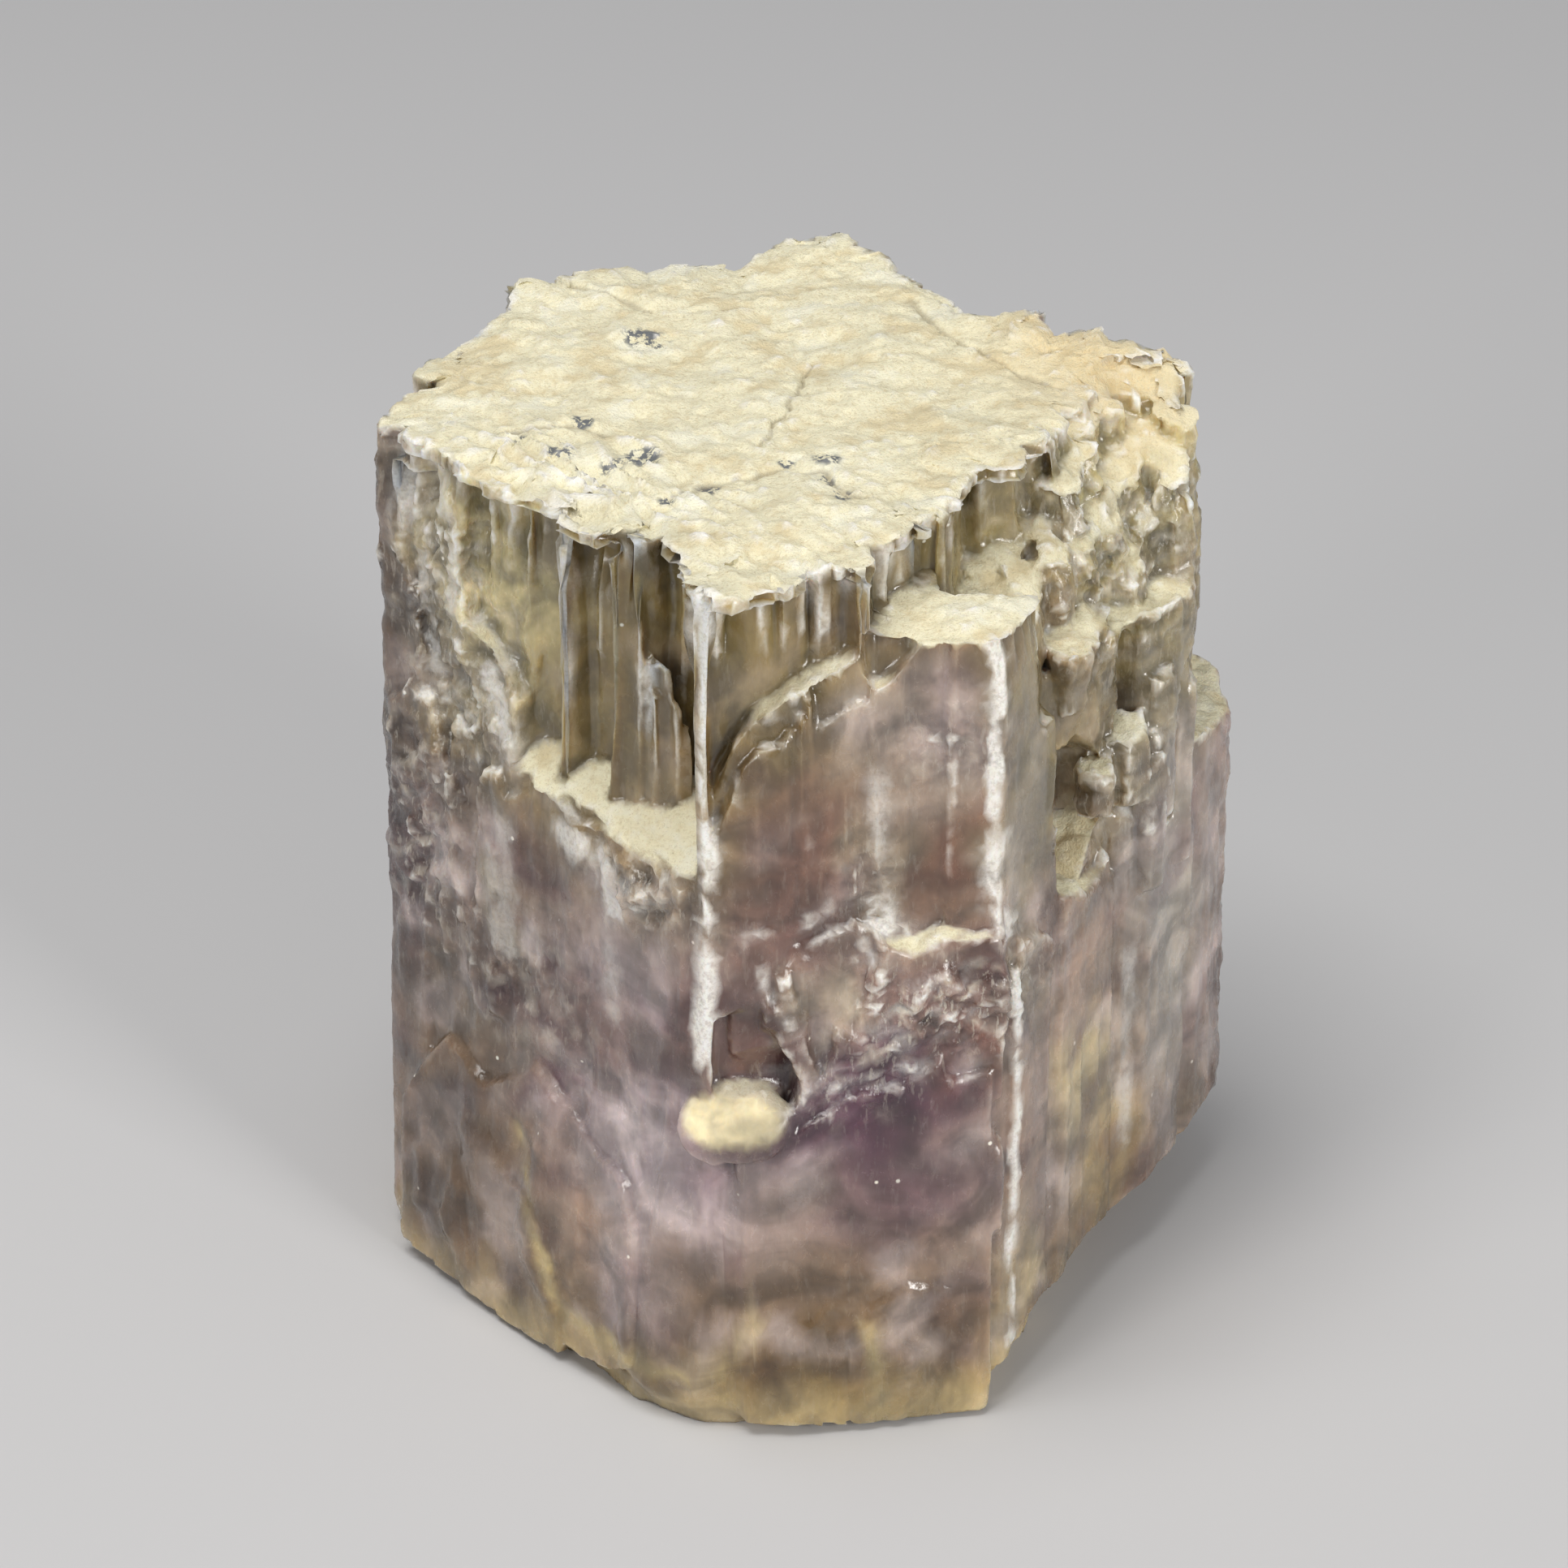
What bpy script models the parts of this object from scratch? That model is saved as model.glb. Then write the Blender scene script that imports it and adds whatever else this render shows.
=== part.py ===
"""An aragonite twin: a stout six-sided prism grown as a bundle of parallel columns.

Everything is one grown piece, so it is one solid. It is built the way the crystal grew: a fluted trunk,
plates and side columns that end at their own heights, and a ragged flat end face on top. Then what broke
or never filled is cut out: growth notches, steps, pockets and the chipped foot.

Plan outlines are in millimetres, X to the right and Y to the back, measured from the crystal's long axis.
A place on a side face is a run along the face, from its left corner as seen from outside, and a height.
The build ends by moving the crystal so that its foot stands on Z = 0 with its box centred on the origin.
"""

import math
import random

import bmesh
import bpy
from mathutils import Matrix, Vector, noise

MM = 0.001

# Driving dimensions, in millimetres
HEIGHT = 32.0
CAP_UNDERSIDE = 31.15
TRUNK_TOP = 31.45
LEFT_LEDGE = 21.35
FRONT_LEDGE = 29.3
UNDER_RIM_FLOOR = 27.6
RIGHT_LEDGE = 25.4
FOOT_BEVEL_HEIGHT = 1.1
FOOT_SCALLOP = 0.22
FOOT_SCALLOP_PITCH = 4.3
SHOULDER_FOOT = 22.5
PLATE_ROOT = 1.1
CUTTER_OVERSHOOT = 3.0

# How far the lower part stands out beyond the slender upper part, as heights and distances
SPREAD = [(0.0, 1.05), (FOOT_BEVEL_HEIGHT, 1.2), (6.0, 0.8), (10.5, 0.35), (17.0, 0.0)]
SPREAD_ELSEWHERE = 0.3

# The pitch and depth of the flutes down the trunk and of the bites out of the rim
FLUTES = (1.7, 0.3)
RIM_BITES = (0.75, 0.3)

# The end face's roll and its finer unevenness, each a wavelength and a height
CAP_ROLL = (3.6, 0.26)
CAP_UNEVENNESS = (1.3, 0.14)
CAP_RELIEF_BASE = HEIGHT - 0.38
CAP_GRID_WIDTH = 34.0
CAP_GRID_CELLS = 27

# The two twin directions that every facet follows
LATTICE_TURN = math.radians(10)
FACET_RUN = math.tan(math.radians(30))

# The prism's corners, anticlockwise seen from above, starting at the left corner
LEFT = (-13.4, -3.0)
FRONT = (-2.6, -15.4)
FRONT_RIGHT = (7.0, -13.7)
RIGHT_SHOULDER = (8.8, -10.6)
RIGHT = (13.9, -0.4)
BACK_RIGHT = (12.9, 2.4)
RE_ENTRANT = (6.9, 4.6)
BACK_STEP = (4.7, 8.0)
BACK = (1.8, 11.4)
BACK_DIP = (-1.8, 9.3)
BACK_LEFT = (-7.3, 8.6)
LEFT_STEP = (-9.7, 7.2)
LEFT_BACK = (-12.2, 1.6)
HULL = [
    LEFT,
    FRONT,
    FRONT_RIGHT,
    RIGHT_SHOULDER,
    RIGHT,
    BACK_RIGHT,
    RE_ENTRANT,
    BACK_STEP,
    BACK,
    BACK_DIP,
    BACK_LEFT,
    LEFT_STEP,
    LEFT_BACK,
]
LEFT_FACE = (LEFT, FRONT)
FRONT_FACE = (FRONT, FRONT_RIGHT)
NARROW_FACE = (FRONT_RIGHT, RIGHT_SHOULDER)
RIGHT_FACE = (RIGHT_SHOULDER, RIGHT)

# The end face's ragged rim, as it lies over the notches below it
CAP_RIM = [
    (-13.45, -3.3),
    (-12.3, -4.7),
    (-10.8, -6.3),
    (-9.6, -8.0),
    (-8.1, -8.8),
    (-7.3, -10.6),
    (-6.0, -11.5),
    (-4.6, -10.3),
    (-3.6, -10.2),
    (-3.9, -11.6),
    (-3.2, -14.0),
    (-2.8, -15.4),
    (-1.6, -15.8),
    (0.4, -14.8),
    (1.1, -13.4),
    (2.8, -13.7),
    (3.2, -11.6),
    (4.7, -11.2),
    (5.7, -8.8),
    (6.2, -7.0),
    (7.7, -6.6),
    (8.5, -5.2),
    (9.3, -2.2),
    (10.2, 0.2),
    (12.0, 1.5),
    (12.9, 2.5),
    (10.3, 3.5),
    (8.8, 4.7),
    (6.2, 4.5),
    (4.4, 7.4),
    (3.6, 9.6),
    (1.9, 11.8),
    (-0.2, 10.6),
    (-1.8, 9.2),
    (-5.7, 8.6),
    (-7.1, 7.6),
    (-9.1, 7.4),
    (-10.4, 4.0),
    (-12.2, 0.8),
]

# Lumps that stand up on the end face, each a place, a radius and a rise
CAP_LUMPS = [
    ((1.6, 10.2), 2.0, 0.30),
    ((8.2, 3.8), 1.7, 0.70),
    ((6.4, 4.2), 1.1, 0.35),
    ((11.0, 2.4), 1.5, 0.45),
    ((-8.8, 6.2), 1.6, 0.20),
    ((-1.6, -13.6), 2.2, -0.15),
    ((2.8, 4.6), 3.4, 0.15),
]

# Broken columns on the sloping shoulder, each a place, a radius, a height and a rise to the back
SHOULDER_COLUMNS = [
    ((12.75, 1.5), 1.15, 31.35, 0.25),
    ((11.5, 0.7), 1.10, 31.25, 0.35),
    ((10.4, -0.9), 1.05, 31.05, 0.40),
    ((9.7, -2.7), 1.00, 30.70, 0.45),
    ((9.0, -4.4), 0.90, 30.10, 0.45),
    ((13.05, -0.3), 1.00, 30.60, 0.50),
    ((12.0, -0.7), 0.95, 29.90, 0.60),
    ((12.95, -1.9), 0.80, 29.10, 0.60),
    ((11.1, -2.0), 0.95, 29.20, 0.60),
    ((12.0, -2.3), 0.80, 27.70, 0.60),
    ((10.5, -3.6), 0.90, 28.60, 0.60),
    ((9.7, -5.0), 0.75, 28.30, 0.45),
    ((11.4, -3.5), 0.80, 26.70, 0.50),
    ((7.1, -5.7), 0.75, 28.50, 0.30),
    ((6.3, -6.4), 0.60, 28.10, 0.20),
    ((8.1, -5.0), 0.75, 28.90, 0.40),
    ((7.7, -6.7), 0.65, 28.00, 0.30),
    ((8.8, -6.1), 0.70, 28.40, 0.30),
]

# Columns that stand on the plates of the faces turned away, each a place, a radius, a head and a foot
BACK_COLUMNS = [
    ((-12.2, 1.3), 0.80, 27.6, 15.0),
    ((-11.5, 3.4), 1.00, 23.8, 17.0),
    ((-10.6, 5.5), 0.90, 21.4, 16.0),
    ((-9.3, 7.5), 1.00, 26.3, 15.0),
    ((-5.2, 8.9), 0.80, 18.6, 1.2),
    ((-2.7, 8.9), 0.90, 28.3, 20.0),
    ((0.5, 10.3), 0.80, 26.6, 20.0),
    ((4.3, 8.4), 0.85, 25.2, 3.0),
    ((6.1, 6.3), 1.00, 21.6, 10.0),
    ((8.7, 4.3), 0.90, 18.4, 10.0),
    ((11.4, 3.4), 0.80, 24.0, 4.0),
]

# Crumbled columns that hang over the cavity on the right face
CRUMB_COLUMNS = [
    ((11.3, -6.0), 0.90, 21.6, 18.9),
    ((10.3, -7.4), 0.75, 20.9, 19.1),
    ((12.3, -4.5), 0.85, 23.2, 17.5),
    ((13.1, -2.9), 0.80, 21.8, 15.0),
    ((12.2, -5.4), 0.60, 20.4, 15.0),
]


# Drawing the outlines


def worked_edge(start, end, pitch, depth, dice):
    """The points from start up to end, with the side broken into flat facets at small depths."""
    a, b = Vector(start), Vector(end)
    along = (b - a).normalized()
    inward = Vector((-along.y, along.x))
    length = (b - a).length
    facets = max(1, round(length / pitch))
    points = [tuple(a)]
    if facets < 3:
        return points
    last = 0.0
    for facet in range(1, facets):
        place = length * (facet + dice.uniform(-0.3, 0.3)) / facets
        offset = 0.0 if facet == facets - 1 else depth * dice.random()
        run = abs(offset - last) * FACET_RUN
        points.append(tuple(a + along * (place - run / 2) + inward * last))
        points.append(tuple(a + along * (place + run / 2) + inward * offset))
        last = offset
    return points


def worked(outline, pitch, depth, seed):
    """The whole outline with every side broken into facets."""
    dice = random.Random(seed)
    points = []
    for start, end in zip(outline, outline[1:] + outline[:1]):
        points += worked_edge(start, end, pitch, depth, dice)
    return points


def grown(outline, distances):
    """The outline with each corner moved outwards along the mean of its two normals."""
    moved = []
    for i, corner in enumerate(outline):
        before = Vector(corner) - Vector(outline[i - 1])
        after = Vector(outline[(i + 1) % len(outline)]) - Vector(corner)
        side = before.normalized() + after.normalized()
        outward = Vector((side.y, -side.x)).normalized()
        moved.append(tuple(Vector(corner) + outward * distances[i]))
    return moved


def around(outline):
    """The distance walked round the outline to each of its points."""
    walked, total = [], 0.0
    for i, corner in enumerate(outline):
        walked.append(total)
        total += (Vector(outline[(i + 1) % len(outline)]) - Vector(corner)).length
    return walked


def hexagon(centre, radius):
    """A column's plan, with its faces along the twin directions."""
    turns = [LATTICE_TURN + math.radians(60 * k + 30) for k in range(6)]
    return [(centre[0] + radius * math.cos(t), centre[1] + radius * math.sin(t)) for t in turns]


def on_face(face, run, depth):
    """The plan point at a run along the face and a depth into the crystal."""
    a, b = Vector(face[0]), Vector(face[1])
    along = (b - a).normalized()
    inward = Vector((-along.y, along.x))
    return tuple(a + along * run + inward * depth)


# Making the solids


def new_object(name, bm):
    bmesh.ops.recalc_face_normals(bm, faces=bm.faces)
    mesh = bpy.data.meshes.new(name)
    bm.to_mesh(mesh)
    bm.free()
    obj = bpy.data.objects.new(name, mesh)
    bpy.context.scene.collection.objects.link(obj)
    return obj


def rings_to_solid(name, rings):
    """A closed solid through rings that have the same number of points, in order from end to end."""
    bm = bmesh.new()
    loops = [[bm.verts.new(Vector(p) * MM) for p in ring] for ring in rings]
    bm.faces.new(list(reversed(loops[0])))
    bm.faces.new(loops[-1])
    count = len(loops[0])
    for low, high in zip(loops, loops[1:]):
        for i in range(count):
            k = (i + 1) % count
            bm.faces.new((low[i], low[k], high[k], high[i]))
    return new_object(name, bm)


def column(name, outline, foot, head, tilt=(0.0, 0.0), foot_tilt=(0.0, 0.0), foot_scale=1.0):
    """An upright block. tilt and foot_tilt slope its ends, in height over distance from its middle."""
    middle = sum((Vector(p) for p in outline), Vector((0, 0))) / len(outline)
    low, high = [], []
    for x, y in outline:
        dx, dy = x - middle.x, y - middle.y
        high.append((x, y, head + tilt[0] * dx + tilt[1] * dy))
        dx, dy = dx * foot_scale, dy * foot_scale
        low.append((middle.x + dx, middle.y + dy, foot + foot_tilt[0] * dx + foot_tilt[1] * dy))
    return rings_to_solid(name, [low, high])


def on_face_solid(name, face, profile, out, depth, rise=0.0, flare=0.0):
    """A block through one prism face, drawn on the face. Its inner end stands higher by rise, and its
    outer end stands out further by flare for each millimetre below its head."""
    head = max(z for run, z in profile)
    outer = [(*on_face(face, run, -out - flare * (head - z)), z) for run, z in profile]
    inner = [(*on_face(face, run, depth), z + rise) for run, z in profile]
    return rings_to_solid(name, [outer, inner])


def notch(name, face, profile, depth, rise=0.0):
    """A cutter that goes straight into a prism face."""
    return on_face_solid(name, face, profile, CUTTER_OVERSHOOT, depth, rise)


def plate(name, face, profile, out, rise=0.3, flare=0.0):
    """A growth plate that stands out from a prism face, its head sloping outwards."""
    return on_face_solid(name, face, profile, out, PLATE_ROOT, rise, flare)


def combine(body, other, operation):
    """Applies one Boolean to the body and removes the other solid."""
    modifier = body.modifiers.new(other.name, "BOOLEAN")
    modifier.solver = "EXACT"
    modifier.operation = operation
    modifier.object = other
    bpy.context.view_layer.update()
    graph = bpy.context.evaluated_depsgraph_get()
    made = bpy.data.meshes.new_from_object(body.evaluated_get(graph))
    body.modifiers.clear()
    body.data = made
    bpy.data.objects.remove(other)


def grow(body, *others):
    for other in others:
        combine(body, other, "UNION")


def carve(body, *others):
    for other in others:
        combine(body, other, "DIFFERENCE")


def fill_sealed_gaps(body):
    """Removes every shell but the largest, so gaps left sealed where columns met are grown solid."""
    bm = bmesh.new()
    bm.from_mesh(body.data)
    shells, seen = [], set()
    for face in bm.faces:
        if face in seen:
            continue
        shell, waiting = [], [face]
        seen.add(face)
        while waiting:
            current = waiting.pop()
            shell.append(current)
            near = {n for edge in current.edges for n in edge.link_faces} - seen
            seen |= near
            waiting += sorted(near, key=lambda n: n.index)
        shells.append(shell)
    largest = max(shells, key=len)
    sealed = [face for shell in shells if shell is not largest for face in shell]
    bmesh.ops.delete(bm, geom=sealed, context="FACES")
    bm.to_mesh(body.data)
    bm.free()


# The trunk: one fluted prism, stouter below, with a bevelled and scalloped foot


def spread_share(point):
    """How much of the spread a point of the outline takes: all on the left face, little elsewhere."""
    a, b = Vector(LEFT_FACE[0]), Vector(LEFT_FACE[1])
    along = (b - a).normalized()
    offset = Vector(point) - a
    on_left_face = abs(along.cross(offset)) < 0.5 and 0.8 < along.dot(offset) < (b - a).length - 1.0
    return 1.0 if on_left_face else SPREAD_ELSEWHERE


def trunk():
    slender = worked(HULL, *FLUTES, 23)
    shares = [spread_share(point) for point in slender]
    waves = [math.sin(2 * math.pi * walked / FOOT_SCALLOP_PITCH) for walked in around(slender)]
    rings = []
    for height, spread in SPREAD:
        scallop = FOOT_SCALLOP if height == 0.0 else 0.0
        moves = [spread * share + scallop * (wave - 1.0) for share, wave in zip(shares, waves)]
        rings.append([(x, y, height) for x, y in grown(slender, moves)])
    rings.append([(x, y, TRUNK_TOP) for x, y in slender])
    return rings_to_solid("trunk", rings)


# The end face: a rough slab with a ragged rim


def cap():
    """The rim's prism, kept where it meets a slab whose upper side rolls gently and has lumps."""
    rim = column("cap", worked(CAP_RIM, *RIM_BITES, 5), CAP_UNDERSIDE, HEIGHT + 3)
    bm = bmesh.new()
    half = CAP_GRID_WIDTH / 2 * MM
    bmesh.ops.create_grid(bm, x_segments=CAP_GRID_CELLS, y_segments=CAP_GRID_CELLS, size=half)
    top = bm.verts[:]
    extruded = bmesh.ops.extrude_face_region(bm, geom=bm.faces[:])["geom"]
    for vert in [item for item in extruded if isinstance(item, bmesh.types.BMVert)]:
        vert.co.z = (CAP_UNDERSIDE - 4.0) * MM
    for vert in top:
        x, y = vert.co.x / MM, vert.co.y / MM
        relief = 0.0
        for layer, (wavelength, height) in enumerate((CAP_ROLL, CAP_UNEVENNESS)):
            relief += height * noise.noise(Vector((x / wavelength, y / wavelength, 1.7 + 6.4 * layer)))
        for place, radius, rise in CAP_LUMPS:
            distance = (Vector((x, y)) - Vector(place)).length
            relief += rise * max(0.0, 1.0 - (distance / radius) ** 2)
        vert.co.z = (CAP_RELIEF_BASE + relief) * MM
    combine(rim, new_object("cap_relief", bm), "INTERSECT")
    return rim


# Plates and side columns that stand out from the trunk


def front_plates():
    """The middle step of the front face, the stout plate below it and two tongues at the foot."""
    middle = [
        (2.3, 12.0),
        (2.45, 17.5),
        (3.55, 18.3),
        (4.9, 18.9),
        (5.7, 18.7),
        (6.1, 18.2),
        (6.8, 18.1),
        (7.6, 18.5),
        (8.9, 18.3),
        (9.85, 18.4),
        (9.85, 12.0),
    ]
    yield plate("front_middle", FRONT_FACE, middle, 0.45)
    lower = [
        (1.0, 0.3),
        (1.0, 10.6),
        (2.6, 11.5),
        (3.6, 12.2),
        (5.2, 13.1),
        (7.1, 13.4),
        (8.6, 13.0),
        (9.5, 13.3),
        (9.5, 0.2),
    ]
    yield plate("front_lower", FRONT_FACE, lower, 0.7, flare=0.025)
    tongue = [(4.9, 0.15), (4.7, 3.2), (5.4, 5.0), (6.6, 5.6), (8.0, 5.1), (8.9, 3.4), (9.2, 0.15)]
    yield plate("front_tongue", FRONT_FACE, tongue, 1.08, rise=0.5)
    narrow = [(0.5, 1.9), (0.5, 15.8), (1.1, 16.8), (2.0, 17.2), (2.9, 16.5), (3.0, 1.9)]
    yield plate("narrow_column", NARROW_FACE, narrow, 0.4)


def left_plates():
    """Plates on the left face, each ending at its own height."""
    under_ledge = [
        (7.0, 11.0),
        (6.7, 20.4),
        (8.6, 21.1),
        (10.2, 20.7),
        (12.4, 20.9),
        (14.4, 20.5),
        (15.6, 20.4),
        (15.6, 13.2),
        (12.0, 12.0),
    ]
    yield plate("left_under_ledge", LEFT_FACE, under_ledge, 0.22, rise=1.0)
    frosty = [(5.0, 12.6), (5.1, 19.6), (5.6, 20.9), (6.3, 21.2), (6.8, 20.0), (6.9, 13.4), (6.2, 12.2)]
    yield plate("left_frosty", LEFT_FACE, frosty, 0.34, rise=0.4)
    edge = [
        (0.5, 9.0),
        (0.5, 20.2),
        (1.4, 22.6),
        (2.6, 22.0),
        (3.3, 20.2),
        (4.3, 19.0),
        (4.5, 10.0),
        (2.6, 8.4),
    ]
    yield plate("left_edge", LEFT_FACE, edge, 0.22, rise=0.4)
    low = [
        (1.5, 0.6),
        (1.3, 6.2),
        (2.1, 7.6),
        (3.4, 9.2),
        (5.8, 8.8),
        (8.2, 10.6),
        (10.6, 9.4),
        (13.2, 8.2),
        (13.8, 6.4),
        (13.9, 1.5),
        (12.9, 0.9),
        (10.4, 0.7),
        (6.2, 0.2),
        (3.1, 0.4),
    ]
    yield plate("left_low", LEFT_FACE, low, 0.62, rise=0.5, flare=0.07)
    tongue = [
        (4.9, 0.5),
        (3.9, 2.8),
        (4.6, 5.2),
        (6.4, 6.3),
        (8.8, 5.4),
        (10.2, 3.0),
        (10.4, 0.3),
        (7.6, 0.15),
    ]
    yield plate("left_tongue", LEFT_FACE, tongue, 1.1, rise=0.5, flare=0.06)


def right_plates():
    """The separate columns low on the right, and the slab whose head is the cavity's floor."""
    slab = [(0.3, 2.2), (0.3, 17.6), (1.1, 17.3), (2.3, 16.8), (3.6, 16.7), (4.3, 17.3), (4.6, 2.0)]
    yield plate("right_slab", RIGHT_FACE, slab, 0.35, rise=0.5)
    broad = [(10.9, -6.7), (12.2, -5.4), (13.8, -2.6), (12.8, -0.5), (10.2, -3.8)]
    yield column("right_broad", worked(broad, 1.3, 0.22, 53), 1.0, 17.0, tilt=(0.1, 0.35))
    tall = [(12.9, -2.9), (14.4, -1.6), (15.35, 0.9), (14.9, 3.9), (12.6, 5.6), (10.5, 2.0)]
    yield column("right_tall", worked(tall, 1.2, 0.2, 47), 0.3, 19.1, tilt=(-0.22, 0.05))


def right_ledges():
    """The two cream-topped columns that end in ledges below the shoulder."""
    first = [(8.3, -6.5), (8.6, -8.7), (9.4, -9.1), (10.1, -8.5), (10.8, -5.2), (9.4, -4.8)]
    yield column("ledge_first", first, 22.6, 25.9, tilt=(-0.1, 0.05), foot_scale=0.45)
    second = [(10.7, -4.1), (11.0, -5.0), (11.8, -5.3), (13.3, -4.0), (13.7, -2.6), (12.6, -1.6)]
    yield column("ledge_second", second, 20.6, 25.4, tilt=(0.05, 0.08), foot_scale=0.8)


def shoulder_columns():
    for count, (place, radius, head, rise) in enumerate(SHOULDER_COLUMNS, start=1):
        yield column(f"shoulder_{count}", hexagon(place, radius), SHOULDER_FOOT, head, tilt=(-0.12, rise))


def crumb_columns():
    for count, (place, radius, head, foot) in enumerate(CRUMB_COLUMNS, start=1):
        yield column(f"crumb_{count}", hexagon(place, radius), foot, head, tilt=(-0.1, 0.4))


def back_columns():
    """Columns and plates on the faces turned away, of the same kind as those in front."""
    left = [(-12.4, 1.2), (-9.2, 4.0), (-7.6, 9.1), (-10.3, 8.2), (-12.9, 2.6)]
    yield column("back_left", worked(left, 1.4, 0.25, 67), 0.4, 19.0, tilt=(0.1, -0.2))
    middle = [(-3.4, 7.0), (1.0, 8.5), (2.4, 11.9), (-0.4, 11.0), (-3.8, 9.6)]
    yield column("back_middle", worked(middle, 1.2, 0.22, 71), 0.5, 24.6, tilt=(0.08, -0.25))
    right = [(4.0, 4.0), (9.0, 2.0), (10.4, 4.4), (7.4, 5.9), (5.0, 9.0)]
    yield column("back_right", worked(right, 1.3, 0.25, 73), 0.6, 14.5, tilt=(0.1, -0.2))
    for count, (place, radius, head, foot) in enumerate(BACK_COLUMNS, start=1):
        plan = hexagon(place, radius)
        yield column(f"back_{count}", plan, foot, head, tilt=(0.1, -0.3), foot_tilt=(0.1, 0.3))
    dice = random.Random(83)
    faces = [(BACK_RIGHT, RE_ENTRANT), (BACK_STEP, BACK), (BACK_DIP, BACK_LEFT), (LEFT_STEP, LEFT_BACK)]
    for count, face in enumerate(faces, start=1):
        length = (Vector(face[1]) - Vector(face[0])).length
        for layer in range(3):
            start = length * dice.uniform(0.08, 0.5)
            width = length * dice.uniform(0.25, 0.45)
            foot = dice.uniform(2.0, 14.0)
            head = foot + dice.uniform(5.0, 11.0)
            profile = [
                (start, foot),
                (start, head - 1.4),
                (start + 0.35 * width, head),
                (start + width, head - dice.uniform(0.3, 1.2)),
                (start + width, foot + 0.6),
            ]
            yield plate(f"back_plate_{count}_{layer}", face, profile, dice.uniform(0.15, 0.45))


def chip():
    """The pale oval scar low on the front edge, a worn stump that faces up and forwards."""
    bm = bmesh.new()
    bmesh.ops.create_uvsphere(bm, u_segments=20, v_segments=10, radius=1.0)
    size = Matrix.Diagonal((1.95 * MM, 1.45 * MM, 0.75 * MM, 1.0))
    turn = Matrix.Rotation(math.radians(-6), 4, "Y") @ Matrix.Rotation(math.radians(52), 4, "X")
    place = Matrix.Translation(Vector((-1.65, -15.35, 12.0)) * MM)
    bmesh.ops.transform(bm, matrix=place @ turn @ size, verts=bm.verts)
    return new_object("chip", bm)


# What is missing: notches, steps, pockets and chipped edges


def left_notches():
    """The deep fluted notch beside the front edge and the shallow panes next to it."""
    flutes = [
        (6.6, 0.0),
        (7.1, 1.2),
        (8.2, 1.4),
        (8.5, 0.35),
        (9.1, 0.35),
        (9.3, 1.5),
        (10.6, 1.7),
        (11.0, 0.9),
        (12.1, 1.0),
        (12.2, 2.3),
        (13.1, 2.8),
        (13.6, 2.5),
        (15.0, 1.3),
        (16.0, 0.2),
    ]
    around_it = [(16.2, -3.0), (6.3, -3.0)]
    outline = [on_face(LEFT_FACE, run, depth) for run, depth in around_it + flutes]
    yield column("left_notch", outline, LEFT_LEDGE + 0.25, HEIGHT + 2, foot_tilt=(0.38, 0.42))
    pane = [
        (4.2, 31.0),
        (4.0, 27.6),
        (4.5, 26.0),
        (5.6, 25.0),
        (6.6, 23.9),
        (7.9, 22.9),
        (8.2, 24.6),
        (8.1, 31.0),
    ]
    yield notch("left_pane", LEFT_FACE, pane, 0.8, rise=0.2)
    nick = [(1.1, 30.4), (0.9, 27.6), (1.5, 26.2), (2.5, 26.0), (3.0, 28.0), (2.7, 30.2)]
    yield notch("left_nick", LEFT_FACE, nick, 0.4, rise=0.1)
    scoop = [(1.6, 24.8), (2.4, 22.6), (4.4, 21.2), (5.0, 22.4), (4.2, 24.4), (2.6, 25.6)]
    yield notch("left_scoop", LEFT_FACE, scoop, 0.45, rise=0.25)
    dark = [(7.6, 19.4), (8.4, 16.2), (9.8, 15.4), (10.8, 17.4), (10.2, 19.2), (8.8, 19.8)]
    yield notch("left_dark", LEFT_FACE, dark, 0.45, rise=0.2)


def front_notches():
    """The arched step under the end face, cut in two depths, and the pockets lower down."""
    arch = [
        (0.25, 33.0),
        (0.25, 23.0),
        (0.65, 24.2),
        (1.1, 25.4),
        (1.75, 26.4),
        (2.8, 27.2),
        (4.0, 27.7),
        (5.1, 28.2),
        (5.3, 33.0),
    ]
    low_arch = [
        (0.2, 33.0),
        (0.2, 22.3),
        (0.8, 23.6),
        (1.3, 25.0),
        (1.9, 25.6),
        (2.5, 25.7),
        (2.75, 26.1),
        (3.6, 26.3),
        (4.1, 26.1),
        (4.6, 26.5),
        (5.4, 26.9),
        (5.4, 33.0),
    ]
    yield notch("arch", FRONT_FACE, arch, 1.25, rise=0.35)
    yield notch("low_arch", FRONT_FACE, low_arch, 0.5, rise=0.2)
    wedge = [(5.3, 29.3), (5.4, 27.8), (5.7, 27.2), (6.6, 28.2), (7.4, 29.4)]
    yield notch("arch_wedge", FRONT_FACE, wedge, 0.9, rise=0.2)


def front_pockets():
    """The dark pocket beside the front edge and the pointed facet next to it."""
    pocket = [(0.25, 12.2), (0.3, 16.0), (1.2, 16.5), (2.2, 15.9), (3.2, 13.4), (2.7, 12.1)]
    yield notch("dark_pocket", FRONT_FACE, pocket, 0.5, rise=-0.2)
    facet = [(2.7, 17.6), (4.0, 18.6), (5.4, 19.4), (5.8, 17.8), (5.1, 15.2), (3.8, 13.3), (3.3, 14.4)]
    yield notch("pointed_facet", FRONT_FACE, facet, -0.08, rise=0.3)


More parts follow.
